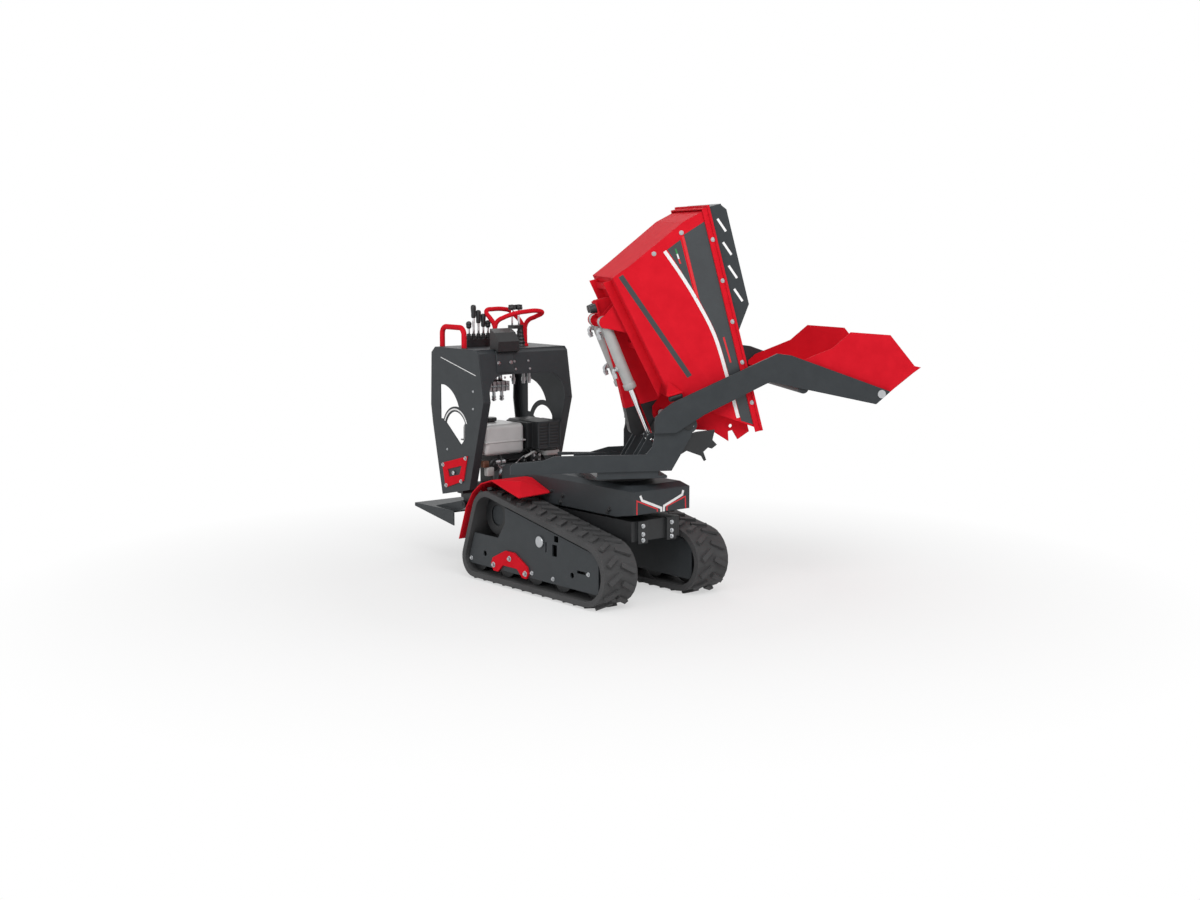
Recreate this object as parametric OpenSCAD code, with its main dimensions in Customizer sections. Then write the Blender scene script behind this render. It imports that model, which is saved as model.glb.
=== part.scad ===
// Tracked site dumper with a slewing, front-tipping skip and a self-loading shovel.
// Millimetres. X points forward along the chassis, Y to the left, Z up.
// The origin is on the ground, midway between the tracks.

/* [Tracks] */
// Width over both tracks
track_span = 780; // [740:5:900]
// Width of one rubber belt
belt_w = 200; // [160:5:220]
// Thickness of the belt
belt_t = 28; // [18:1:30]
// Height of the lugs
lug_h = 12; // [8:1:20]
// Length of a lug along the belt
lug_l = 23; // [18:1:34]
// Lugs around one belt
lug_count = 34; // [28:1:38]
// Radius of the front idler
idler_r = 125; // [110:1:135]
// Radius of the drive sprocket
sprocket_r = 100; // [85:1:110]
// Radius of the ground rollers
roller_r = 68; // [58:1:72]
// Front idler, forward of the origin
idler_x = 400; // [380:5:440]
// Drive sprocket, behind the origin
sprocket_x = -385; // [-410:5:-370]
// Height of the drive sprocket
sprocket_z = 337; // [320:1:350]
// Rearmost ground roller, behind the origin
tail_x = -505; // [-530:5:-490]
// Thickness of the track frame plates
frame_t = 8; // [5:1:12]
// Radius of the lashing holes in the track frames
lash_r = 14; // [8:1:18]

/* [Chassis] */
// Half width of the hood
hood_hw = 175; // [160:1:185]
// Front face of the hood, forward of the origin
hood_x = 505; // [450:5:540]
// Seam between the hood and the rear cover
seam_x = -140; // [-180:5:-100]
// Underside of the hood
hood_z = 415; // [400:1:430]
// Top of the hood
hood_top = 567; // [550:1:580]
// Thickness of the sheet covers
sheet = 5; // [3:0.5:8]
// Front of the console's upper corners
console_x = -590; // [-640:5:-580]
// Half width over the console's side plates
console_hw = 287; // [270:1:300]
// Top of the console
console_top_z = 1155; // [1120:5:1200]

/* [Slewing upper frame] */
// Slewing axis, forward of the origin
slew_x = 175; // [160:5:200]
// Slewing angle to the left as it stands
slew_rest = 62; // [0:1:90]
// Underside of the upper frame's side plates
sub_z = 638; // [630:1:650]
// Half width over the upper frame's side plates
sub_hw = 332; // [326:1:340]
// Thickness of the upper frame's side plates
sub_t = 10; // [6:1:14]

/* [Skip] */
// Tipping axis, forward of the slewing axis
tip_u = 271; // [260:1:285]
// Height of the tipping axis
tip_z = 854; // [840:1:870]
// Tipping angle as it stands
tip_rest = 75.5; // [0:0.5:80]
// Side gap between the skip's rim and the upper frame
skip_gap = 19; // [16:1:32]
// Wall thickness of the skip
skip_t = 6; // [4:0.5:10]
// Height of the sideboard above the rim
board_h = 78; // [40:1:110]

/* [Arms and shovel] */
// Arm pivot, forward of the slewing axis
arm_u = 187; // [180:1:195]
// Height of the arm pivot
arm_z = 880; // [870:1:890]
// Thickness of the arm plates
arm_t = 12; // [8:1:16]
// Side gap between the arms and the upper frame
arm_gap = 6; // [5:0.5:9]
// Shovel pivot, forward of the slewing axis
shovel_u = 1217; // [1190:1:1240]
// Height of the shovel pivot as it stands
shovel_z = 983; // [960:1:1000]
// Wall thickness of the shovel
shovel_t = 8; // [5:0.5:10]

/* [Hidden] */
$fn = 48;

red = "#d8202f";
dark = "#3f4346";
black = "#1c1d1f";
rubber = "#454546";
silver = "#c4c6c8";
clear = 0.3;

belt_y = (track_span - belt_w) / 2;
belt_in = lug_h + belt_t;
tail_z = belt_in + roller_r;
idler_z = belt_in + idler_r;
wheels = [[tail_x, tail_z, roller_r], [idler_x, idler_z, idler_r], [sprocket_x, sprocket_z, sprocket_r]];
roller_xs = [-273, -34, 182];
plate_y = track_span / 2 - 18;
arm_hw = sub_hw + arm_gap + arm_t;
skip_hw = sub_hw - sub_t - skip_gap;
axle_r = 22;
arm_cap = 4;

// Loop of the belt around its wheels, anticlockwise seen from the right side of the machine
function wheel_gap(i) = let (p = wheels[i], q = wheels[(i + 1) % 3]) [q[0] - p[0], q[1] - p[1]];
function wheel_drop(i) = wheels[i][2] - wheels[(i + 1) % 3][2];
function run_angle(i) = let (d = wheel_gap(i)) atan2(d[1], d[0]) + asin(wheel_drop(i) / norm(d));
function run_length(i) = sqrt(pow(norm(wheel_gap(i)), 2) - pow(wheel_drop(i), 2));
function arc_start(i) = run_angle((i + 2) % 3) - 90;
function arc_sweep(i) = ((run_angle(i) - run_angle((i + 2) % 3)) % 360 + 360) % 360;
function on_arc(i, off, a) = [wheels[i][0] + (wheels[i][2] + off) * cos(a),
                              wheels[i][1] + (wheels[i][2] + off) * sin(a), a];
function loop_points(off, n = 12) =
    [for (i = [0:2]) for (k = [0:n])
        let (p = on_arc(i, off, arc_start(i) + arc_sweep(i) * k / n)) [p[0], p[1]]];
function arc_length(i, off) = (wheels[i][2] + off) * arc_sweep(i) * PI / 180;
function loop_length(off) = arc_length(0, off) + arc_length(1, off) + arc_length(2, off)
    + run_length(0) + run_length(1) + run_length(2);
// Place at a distance along the loop: X, Z and the angle of the outward normal
function along(s, off, i = 0) =
    s <= arc_length(i, off)
    ? on_arc(i, off, arc_start(i) + s / (wheels[i][2] + off) * 180 / PI)
    : s <= arc_length(i, off) + run_length(i)
    ? let (a = run_angle(i), t = s - arc_length(i, off), p = on_arc(i, off, a - 90))
      [p[0] + t * cos(a), p[1] + t * sin(a), a - 90]
    : along(s - arc_length(i, off) - run_length(i), off, i + 1);

// Plane outline in X and Z, raised along Y between two distances
module side_plate(y0, y1) {
    translate([0, y1, 0])
        rotate([90, 0, 0])
            linear_extrude(y1 - y0)
                children();
}

// Round bar along Y
module cross_bar(x, z, r, y0, y1) {
    translate([x, y0, z])
        rotate([-90, 0, 0])
            cylinder(r = r, h = y1 - y0);
}

// Box from two opposite corners
module box(a, b) {
    translate(a)
        cube(b - a);
}

// Round bar between two points
module bar(a, b, r) {
    d = b - a;
    translate(a)
        rotate([0, acos(d[2] / norm(d)), atan2(d[1], d[0])])
            cylinder(r = r, h = norm(d));
}

// Round-cornered hoop of tube standing on the XY plane, as wide as w along Y and h high
module hoop(w, h, bend, r) {
    for (y = [0, w])
        translate([0, y, 0])
            cylinder(r = r, h = h - bend);
    for (end = [0, 1])
        translate([0, end * w, 0])
            mirror([0, end, 0])
                translate([0, bend, h - bend])
                    rotate([90, 0, 90])
                        rotate([0, 0, 90])
                            rotate_extrude(angle = 90)
                                translate([bend, 0])
                                    circle(r = r);
    translate([0, bend, h])
        rotate([-90, 0, 0])
            cylinder(r = r, h = w - 2 * bend);
}

// Flat panel: four corners of one face, and the shift to the other face
function turned(p, off) = cross(p[1] - p[0], p[2] - p[0]) * off > 0 ? p : [p[3], p[2], p[1], p[0]];
module panel(corners, off) {
    p = turned(corners, off);
    polyhedron(points = concat(p, [for (q = p) q + off]),
               faces = [[0, 1, 2, 3], [7, 6, 5, 4], [1, 0, 4, 5], [2, 1, 5, 6], [3, 2, 6, 7], [0, 3, 7, 4]]);
}

// Both sides of the machine
module pair() {
    children();
    mirror([0, 1, 0])
        children();
}

// Frames of the moving parts
module on_slew() {
    translate([slew_x, 0, 0])
        rotate([0, 0, slew_rest])
            children();
}
module on_skip() {
    on_slew()
        translate([tip_u, 0, tip_z])
            rotate([0, tip_rest, 0])
                children();
}

// Tracks

// One chevron lug: two slanted bars, staggered by half a pitch
module lug(s, off) {
    pitch = loop_length(off) / lug_count;
    for (half = [0, 1]) {
        p = along((s + half * pitch / 2) % loop_length(off), off);
        translate([p[0], 0, p[1]])
            rotate([0, 90 - p[2], 0])
                rotate([0, 0, half == 0 ? 30 : -30])
                    translate([-lug_l / 2, half == 0 ? -belt_w / 2 + 12 : 6, -3])
                        cube([lug_l, belt_w / 2 - 18, lug_h + 3]);
    }
}
module track_loop() {
    translate([0, belt_y, 0]) {
        side_plate(-belt_w / 2, belt_w / 2)
            difference() {
                polygon(loop_points(belt_t));
                polygon(loop_points(0));
            }
        for (k = [0:lug_count - 1])
            lug(loop_length(belt_t) * k / lug_count, belt_t);
    }
}
module track_left() {
    color(rubber)
        track_loop();
}
module track_right() {
    color(rubber)
        mirror([0, 1, 0])
            track_loop();
}

// Outline of a track frame plate, with its notch at the sprocket
module frame_outline() {
    difference() {
        intersection() {
            polygon(loop_points(-14));
            translate([-900, 78])
                square([1386, 500]);
        }
        polygon([[-700, 238], [-310, 238], [-250, 319], [-250, 600], [-700, 600]]);
    }
}
module frame_holes() {
    for (x = [-423, 288])
        translate([x, 143])
            circle(r = lash_r);
    translate([134, 213])
        square([37, 57]);
    translate([148, 284])
        square([34, 30]);
    translate([80, 224])
        square([10, 50]);
    translate([325, 160])
        square([70, 14]);
}
module track_frame() {
    difference() {
        side_plate(plate_y - frame_t, plate_y)
            frame_outline();
        side_plate(plate_y - frame_t - 1, plate_y + 1)
            frame_holes();
    }
    side_plate(2 * belt_y - plate_y, 2 * belt_y - plate_y + frame_t)
        frame_outline();
    box([-200, 2 * belt_y - plate_y + frame_t, 190], [70, plate_y - frame_t, 290]);
    // Drive motor housing in the notch
    cross_bar(sprocket_x, sprocket_z, 52, 2 * belt_y - plate_y + frame_t, plate_y - 60);
    side_plate(2 * belt_y - plate_y, 2 * belt_y - plate_y + frame_t)
        polygon([[-450, 200], [-250, 200], [-250, 385], [-330, 425], [-440, 400]]);
    // Cap of the cross tube
    cross_bar(39, 269, 29, plate_y, plate_y + 5);
}
module track_frame_left() {
    color(dark)
        track_frame();
}
module track_frame_right() {
    color(dark)
        mirror([0, 1, 0])
            track_frame();
}
module sprockets() {
    color(black)
        pair()
            difference() {
                cross_bar(sprocket_x, sprocket_z, sprocket_r - 1, belt_y - 12, belt_y + 30);
                cross_bar(sprocket_x, sprocket_z, 52 + clear, belt_y - 20, belt_y + 40);
            }
}
module idlers() {
    color(black)
        pair() {
            cross_bar(idler_x, idler_z, idler_r - 1.5, belt_y - 30, belt_y + 30);
            cross_bar(idler_x, idler_z, axle_r, 2 * belt_y - plate_y + frame_t, plate_y - frame_t);
        }
}
module rollers() {
    color(black)
        pair()
            for (x = concat([tail_x], roller_xs)) {
                cross_bar(x, tail_z, roller_r - clear, belt_y - 55, belt_y + 55);
                cross_bar(x, tail_z, axle_r, 2 * belt_y - plate_y + frame_t, plate_y - frame_t);
            }
}
module rockers() {
    color(red)
        pair()
            side_plate(plate_y, plate_y + 10)
                difference() {
                    polygon([[-358, 103], [-345, 135], [-240, 184], [-165, 184], [-58, 130], [-46, 96],
                             [-62, 70], [-95, 70], [-140, 108], [-260, 108], [-300, 70], [-338, 70]]);
                    translate([-200, 150])
                        circle(r = 9);
                }
}

// Chassis

module chassis_frame() {
    color(dark) {
        box([-600, -150, 300], [460, 150, 398]);
        for (x = [-150, 20])
            box([x - 40, plate_y - 2 * belt_y, 230], [x + 40, 2 * belt_y - plate_y, 300]);
        for (s = [-1, 1])
            box([-900, s * 170 - 20, 356], [-600, s * 170 + 20, 398]);
        box([-600, -hood_hw, 356], [-560, hood_hw, 398]);
        // Engine plate, and brackets out to the console
        box([-900, -150, 386], [-600, 150, 398]);
        pair()
            box([-800, 152, 398], [-750, console_hw - 6, 421]);
        // Column below the slewing ring
        translate([slew_x, 0, 398])
            cylinder(r = 120, h = hood_top - sheet - 398);
        // Bolted brackets under the front of the hood
        for (s = [-1, 1])
            box([460, s * 90 - 30, 290], [474, s * 90 + 30, 398]);
    }
}
module hood() {
    bevel = 22;
    color(dark)
        difference() {
            intersection() {
                side_plate(-hood_hw, hood_hw)
                    polygon([[seam_x + 1, hood_z], [hood_x - 130, hood_z], [hood_x, hood_z + 22],
                             [hood_x, hood_top - bevel],
                             [hood_x - 2 * bevel, hood_top], [seam_x + 1, hood_top]]);
                translate([seam_x, 0, 0])
                    rotate([90, 0, 90])
                        linear_extrude(hood_x - seam_x)
                            polygon([[-hood_hw, hood_z], [hood_hw, hood_z], [hood_hw, hood_top - bevel],
                                     [hood_hw - bevel, hood_top], [bevel - hood_hw, hood_top],
                                     [-hood_hw, hood_top - bevel]]);
            }
            box([seam_x - 1, sheet - hood_hw, hood_z - 1],
                [hood_x - sheet, hood_hw - sheet, hood_top - bevel - sheet]);
            box([seam_x - 1, bevel + sheet - hood_hw, hood_z],
                [hood_x - 2 * bevel - sheet, hood_hw - bevel - sheet,
                 hood_top - sheet]);
        }
}
module rear_cover() {
    bevel = 22;
    color(dark)
        translate([-545, 0, 0])
            rotate([90, 0, 90])
                linear_extrude(545 + seam_x)
                    polygon([[-hood_hw, 398], [hood_hw, 398], [hood_hw, hood_top - bevel],
                             [hood_hw - bevel, hood_top],
                             [bevel - hood_hw, hood_top], [-hood_hw, hood_top - bevel]]);
}
module slew_base() {
    color(black)
        translate([slew_x, 0, hood_top])
            cylinder(r = 165, h = 18);
}

// Fenders over the sprockets: a bent sheet with a faceted front
module fender() {
    top = [[-632, 190], [-566, 361], [-506, 447], [-434, 500], [-340, 528]];
    low = [[-339, 523], [-431, 495], [-502, 444], [-561, 359], [-627, 190]];
    y0 = hood_hw + clear;
    y1 = track_span / 2;
    side_plate(y0, y1)
        polygon(concat(top, low));
    nose = [[-340, y0, 528], [-340, y1, 528], [-288, y0, 528], [-211, y1 - 90, 528], [-245, y1, 503],
            [-106, y1, 469], [-133, y0, 472]];
    polyhedron(points = concat(nose, [for (p = nose) p - [0, 0, 5]]),
               faces = concat([[1, 3, 2, 0], [1, 4, 3], [4, 5, 3], [3, 5, 6], [3, 6, 2], [7, 9, 10, 8],
                               [10, 11, 8], [10, 12, 11], [13, 12, 10], [9, 13, 10]],
                              [for (e = [[1, 0], [4, 1], [5, 4], [6, 5], [2, 6], [0, 2]])
                               [e[0], e[1], e[1] + 7, e[0] + 7]]));
}
module fender_left() {
    color(red)
        fender();
}
module fender_right() {
    color(red)
        mirror([0, 1, 0])
            fender();
}

// Console

module console_outline() {
    polygon([[-931, 377], [-681, 427], [-548, 889], [console_x, console_top_z - 20],
             [console_x - 20, console_top_z], [-985, console_top_z], [-1020, console_top_z - 30],
             [-1030, 850], [-1014, 751]]);
}
// The two curved openings in a side plate, with the arched band between them
module console_windows() {
    difference() {
        intersection() {
            translate([-940, 780])
                square([195, 180]);
            translate([-935, 785])
                circle(r = 178);
        }
        translate([-800, 730])
            circle(r = 122);
    }
    intersection() {
        translate([-800, 730])
            circle(r = 95);
        polygon([[-900, 770], [-753, 654], [-716, 690], [-716, 860], [-900, 860]]);
    }
}
module console_side() {
    side_plate(console_hw - 6, console_hw)
        difference() {
            console_outline();
            console_windows();
        }
    // Rear flange
    side_plate(console_hw - 36, console_hw - 6)
        polygon([[-1030, 850], [-1020, 850], [-1010, 1120], [-1020, 1120]]);
    side_plate(console_hw - 36, console_hw - 6)
        polygon([[-1030, 850], [-1020, 850], [-1004, 751], [-921, 380], [-931, 377], [-1014, 751]]);
    // Front flange, turned inward
    side_plate(console_hw - 46, console_hw - 6)
        polygon([[-681, 427], [-548, 889], [-557, 889], [-690, 427]]);
}
module console_side_left() {
    color(dark)
        console_side();
}
module console_side_right() {
    color(dark)
        mirror([0, 1, 0])
            console_side();
}
module console_top() {
    hw = console_hw - 6;
    color(dark) {
        box([-985, -hw, console_top_z - 6], [console_x - 20, hw, console_top_z]);
        // Front face with the rounded arch
        intersection() {
            side_plate(-hw, hw)
                polygon([[-557, 889], [-548, 889], [console_x, console_top_z - 20],
                         [console_x - 20, console_top_z - 6], [console_x - 29, console_top_z - 6],
                         [console_x - 9, console_top_z - 26]]);
            difference() {
                box([-800, -hw, 880], [-500, hw, console_top_z]);
                for (y = [-1, 1])
                    translate([-800, y * (hw - 140), 925])
                        rotate([0, 90, 0])
                            cylinder(r = 100, h = 400);
                box([-800, 140 - hw, 870], [-400, hw - 140, 1025]);
                box([-800, 40 - hw, 870], [-400, hw - 40, 925]);
            }
        }
    }
}
module badges() {
    color(red)
        pair()
            side_plate(console_hw, console_hw + 5)
                difference() {
                    polygon([[-924, 545], [-690, 603], [-727, 469], [-894, 416]]);
                    polygon([[-874, 516], [-743, 548], [-762, 499], [-863, 477]]);
                }
}
module control_box() {
    color(black)
        side_plate(-178, -45)
            polygon([[-640, console_top_z], [-640, 1260], [-600, 1240], [-566, 1195], [-566, 1145],
                     [-590, 1135],
                     [-590, console_top_z]]);
}
module valve_block() {
    color(silver) {
        box([-760, -190, 935], [-640, -55, 985]);
        for (k = [0:3])
            translate([-700, -174 + k * 34, 985])
                cylinder(r = 11, h = console_top_z - 6 - 985);
        for (k = [0:2])
            translate([-690, -170 + k * 50, 905])
                cylinder(r = 9, h = 30);
    }
}

// Levers of the loading gear: a bank of boots, each with a stem and a knob
lever_ys = [-176, -146, -115, -84, -54];
lever_tops = [1278, 1361, 1333, 1313, 1279];
module lever_bank() {
    color(black) {
        box([-870, -197, console_top_z], [-818, -36, 1195]);
        for (k = [0:4]) {
            translate([-832, lever_ys[k], 1195])
                cylinder(r1 = 14, r2 = 9, h = 30);
            translate([-832, lever_ys[k], 1225])
                cylinder(r = 4, h = lever_tops[k] - 1235);
            ball = k == 0 || k == 4;
            translate([-832, lever_ys[k], lever_tops[k] - (ball ? 14 : 42)])
                if (ball)
                    sphere(r = 14);
                else
                    cylinder(r = 12, h = 42);
        }
    }
}
module grab_handle() {
    color(red)
        translate([-784, -240, console_top_z])
            rotate([0, 0, 90])
                hoop(201, 105, 38, 14);
}
// Two hoops around the drive levers, the rear one leaning back and the front one forward
module handlebars() {
    color(red) {
        translate([-785, -18, console_top_z + 5])
            rotate([0, -22, 0])
                hoop(164, 200, 45, 12);
        translate([-722, -92, console_top_z + 7])
            rotate([0, 30, 0])
                hoop(235, 205, 55, 12);
        for (p = [[-785, -18], [-785, 146], [-722, -92], [-722, 143]])
            translate([p[0], p[1], console_top_z])
                cylinder(r = 15, h = 8);
    }
}
module drive_levers() {
    color(black) {
        translate([-755, 105, console_top_z])
            cylinder(r1 = 31, r2 = 17, h = 95);
        box([-790, 46, console_top_z + 92], [-738, 122, console_top_z + 110]);
        for (y = [60, 104])
            translate([-772, y, console_top_z + 100]) {
                cylinder(r = 4.5, h = 100);
                translate([0, 0, 91])
                    cylinder(r = 19, h = 26);
            }
    }
}

// Engine

module engine_block() {
    color(black) {
        box([-840, -140, 398], [-640, 150, 440]);
        box([-820, -120, 440], [-660, 140, 600]);
        for (k = [0:5])
            box([-838, -60, 465 + k * 20], [-642, 130, 473 + k * 20]);
        // Recoil housing at the left end
        cross_bar(-740, 510, 88, 140, 190);
        // Exhaust outlet
        box([-700, 90, 600], [-670, 130, 623]);
    }
}
module fuel_tank() {
    color(silver) {
        side_plate(-225, 25)
            polygon([[-838, 672], [-820, 748], [-800, 762], [-650, 762], [-625, 745], [-615, 672],
                     [-640, 610], [-660, 600], [-800, 600], [-820, 612]]);
        translate([-770, -95, 762])
            cylinder(r = 38, h = 24);
    }
}
muffler_y = console_hw - 217;
module muffler() {
    color(black)
        difference() {
            union() {
                box([-720, muffler_y, 623], [-566, muffler_y + 151, 766]);
                box([-720, 34, 630], [-610, muffler_y + 1, 760]);
            }
            for (k = [0:6])
                for (y = [muffler_y + 13, muffler_y + 81])
                    box([-575, y, 639 + k * 16], [-560, y + 56, 647 + k * 16]);
        }
}
module carburettor() {
    color(silver) {
        box([-660, -150, 470], [-610, -80, 540]);
        cross_bar(-637, 560, 22, -160, -100);
        for (k = [0:3])
            translate([-632, -140 + k * 18, 398])
                cylinder(r = 7, h = 72);
    }
}

// Folding platform at the rear
platform_x = -868;
platform_z = 320;
platform_hw = 236;
module platform_bracket() {
    color(dark) {
        for (s = [-1, 1])
            side_plate(s * 170 - 6, s * 170 + 6)
                polygon([[-900, 356], [-800, 356], [platform_x + 22, platform_z - 20],
                         [platform_x - 22, platform_z - 20]]);
        cross_bar(platform_x, platform_z, 9, -208, 208);
    }
}
module platform() {
    color(dark)
        difference() {
            union() {
                side_plate(-platform_hw, platform_hw)
                    polygon([[-1282, 282], [-905, 282], [-905, 274], [-1282, 274]]);
                pair()
                    side_plate(platform_hw - 6, platform_hw)
                        polygon([[-1282, 264], [-1282, 280], [-905, 280], [-905, 204]]);
                for (s = [-1, 1])
                    side_plate(s * 200 - 5, s * 200 + 5) {
                        polygon([[-1150, 276], [-905, 276], [platform_x + 12, platform_z - 18],
                                 [platform_x - 12, platform_z + 18]]);
                        translate([platform_x, platform_z])
                            circle(r = 22);
                    }
            }
            cross_bar(platform_x, platform_z, 9 + clear, -260, 260);
        }
}

// Slewing upper frame

module turntable() {
    color(black)
        on_slew()
            translate([0, 0, hood_top + 18 + clear])
                cylinder(r = 180, h = 603 - hood_top - 18 - clear);
}
// Rear lower pins of the two tipping rams on the upper frame
rod_u = 142;
rod_z = 766;
ram_v = 110;
ram_hw = 28;
lug_gap = 4;
module sub_outline() {
    difference() {
        union() {
            polygon([[-574, sub_z], [191, sub_z], [285, 800], [tip_u + 30, tip_z], [arm_u, arm_z + 40],
                     [107, arm_z - 10], [107, 790], [98, 752], [66, 717], [-366, 720], [-420, 700],
                     [-560, 690], [-574, 676]]);
            translate([tip_u, tip_z])
                circle(r = 42);
            translate([arm_u, arm_z])
                circle(r = 46);
        }
        translate([tip_u, tip_z])
            circle(r = 18 + clear);
        translate([arm_u, arm_z])
            circle(r = 24 + clear);
    }
}
module ram_lug() {
    difference() {
        union() {
            polygon([[20, 615], [172, 615], [rod_u + 32, rod_z], [rod_u - 32, rod_z]]);
            translate([rod_u, rod_z])
                circle(r = 32);
        }
        translate([rod_u, rod_z])
            circle(r = 14);
    }
}
module subframe() {
    color(dark)
        on_slew() {
            side_plate(-sub_hw, sub_t - sub_hw)
                sub_outline();
            // Left plate, cut low behind the upright
            side_plate(sub_hw - sub_t, sub_hw)
                difference() {
                    sub_outline();
                    polygon([[-600, 600], [-240, 600], [-240, 654], [-73, 650], [19, 674], [100, 676],
                             [100, 790], [-600, 790]]);
                }
            box([-170, -sub_hw + sub_t, 603], [172, sub_hw - sub_t, 615]);
            pair() {
                box([-160, sub_hw - sub_t - 22, 615], [130, sub_hw - sub_t, 648]);
                side_plate(ram_v + ram_hw + lug_gap, ram_v + ram_hw + lug_gap + 8)
                    ram_lug();
                side_plate(ram_v - ram_hw - lug_gap - 8, ram_v - ram_hw - lug_gap)
                    ram_lug();
            }
        }
}
// Pivot pins of the skip and of the arms, fast in the upper frame
module skip_pins() {
    color(silver)
        on_slew()
            pair() {
                cross_bar(tip_u, tip_z, 18, hook_v - 8, sub_hw);
                cross_bar(tip_u, tip_z, 22, sub_hw, sub_hw + 2);
                cross_bar(arm_u, arm_z, 24, sub_hw - sub_t - 6, arm_hw - arm_cap - clear);
                cross_bar(arm_u, arm_z, 34, sub_hw, sub_hw + arm_gap - clear);
            }
}

// Skip, drawn level about its tipping axis

rim_rear = -951;
rim_front = 127;
rim_h = 348;
toe_x = -130;
toe_h = -30;
heel_x = -751;
heel_h = -164;
heel_hw = skip_hw - 54;
toe_hw = skip_hw - 58;
side_lean = 0.075;
crease_rear = [-786, -75];
bend_rear = [-922, 222];
function front_at(h) = toe_x + (h - toe_h) * (rim_front - toe_x) / (rim_h - toe_h);
crease_front = [front_at(228), 228];
hook_v = skip_hw - 77;
hook_t = 12;
function half_at(h) = skip_hw - side_lean * (rim_h - h);
function side_ring(shift) = [for (p = [[rim_rear, skip_hw, rim_h], [rim_front, skip_hw, rim_h],
    [crease_front[0], half_at(crease_front[1]), crease_front[1]], [toe_x, toe_hw, toe_h],
    [heel_x, heel_hw, heel_h], [crease_rear[0], half_at(crease_rear[1]), crease_rear[1]],
    [bend_rear[0], half_at(bend_rear[1]), bend_rear[1]]]) [p[0], p[1] - shift, p[2]]];
function floor_at(x) = heel_h + (x - heel_x) * (toe_h - heel_h) / (toe_x - heel_x);
function under_at(x) = floor_at(x) - clear;
module skip_side() {
    on_skip()
        polyhedron(points = concat(side_ring(0), side_ring(skip_t)),
                   faces = concat([[0, 1, 2, 5], [0, 5, 6], [2, 3, 4, 5],
                                    [12, 9, 8, 7], [13, 12, 7], [12, 11, 10, 9]],
                                  [for (k = [0:6]) [(k + 1) % 7, k, 7 + k, 7 + (k + 1) % 7]]));
}
// Wall between the two sides, from one profile point to another, thickened inward
module skip_wall(a, b, wa, wb, off) {
    on_skip()
        panel([[a[0], -wa, a[1]], [a[0], wa, a[1]], [b[0], wb, b[1]], [b[0], -wb, b[1]]], off);
}
module skip_side_left() {
    color(red)
        skip_side();
}
module skip_side_right() {
    color(red)
        on_slew()
            mirror([0, 1, 0])
                rotate([0, 0, -slew_rest])
                    translate([-slew_x, 0, 0])
                        skip_side();
}
module skip_rear() {
    top = skip_hw - skip_t;
    bend = half_at(bend_rear[1]) - skip_t;
    mid = half_at(crease_rear[1]) - skip_t;
    color(red) {
        skip_wall([rim_rear, rim_h], bend_rear, top, bend, [skip_t, 0, 0]);
        skip_wall(bend_rear, crease_rear, bend, mid, [skip_t, 0, 0]);
        skip_wall(crease_rear, [heel_x, heel_h], mid - 2 * clear, heel_hw - skip_t - 2 * clear,
                  [skip_t, 0, 0]);
    }
}
module skip_front() {
    mid = half_at(crease_front[1]) - skip_t;
    color(red) {
        skip_wall([rim_front, rim_h], crease_front, skip_hw - skip_t, mid, [-skip_t, 0, 0]);
        skip_wall(crease_front, [toe_x, toe_h], mid, toe_hw - skip_t, [-skip_t, 0, 0]);
    }
}
module skip_floor() {
    color(red)
        skip_wall([heel_x + skip_t + 1, floor_at(heel_x + skip_t + 1)],
                  [toe_x - skip_t - 1, floor_at(toe_x - skip_t - 1)],
                  heel_hw - skip_t, toe_hw - skip_t, [0, 0, skip_t]);
}
module skip_rim() {
    color(red)
        on_skip() {
            pair() {
                box([rim_rear, skip_hw, rim_h - 36], [rim_front, skip_hw + 6, rim_h]);
                box([rim_rear, skip_hw, rim_h - 11], [rim_front, skip_hw + 15, rim_h]);
            }
            box([rim_rear - 15, -skip_hw - 15, rim_h - 11], [rim_rear, skip_hw + 15, rim_h]);
            box([rim_rear - 6, -skip_hw - 6, rim_h - 36], [rim_rear, skip_hw + 6, rim_h]);
        }
}
// U-shaped sideboard around the rear of the rim, with slanted slots in its sides
module board_outline() {
    difference() {
        polygon([[rim_rear, rim_h], [rim_rear, rim_h + board_h - 20], [rim_rear + 26, rim_h + board_h],
                 [-470, rim_h + board_h], [-361, rim_h]]);
        for (k = [0:3])
            translate([-860 + k * 112, rim_h + board_h / 2])
                rotate(-69)
                    square([12, 72], center = true);
    }
}
module sideboard() {
    color(dark)
        on_skip() {
            pair()
                side_plate(skip_hw, skip_hw + 6)
                    board_outline();
            box([rim_rear - 6, -skip_hw - 6, rim_h], [rim_rear, skip_hw + 6, rim_h + board_h - 20]);
        }
}
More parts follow.
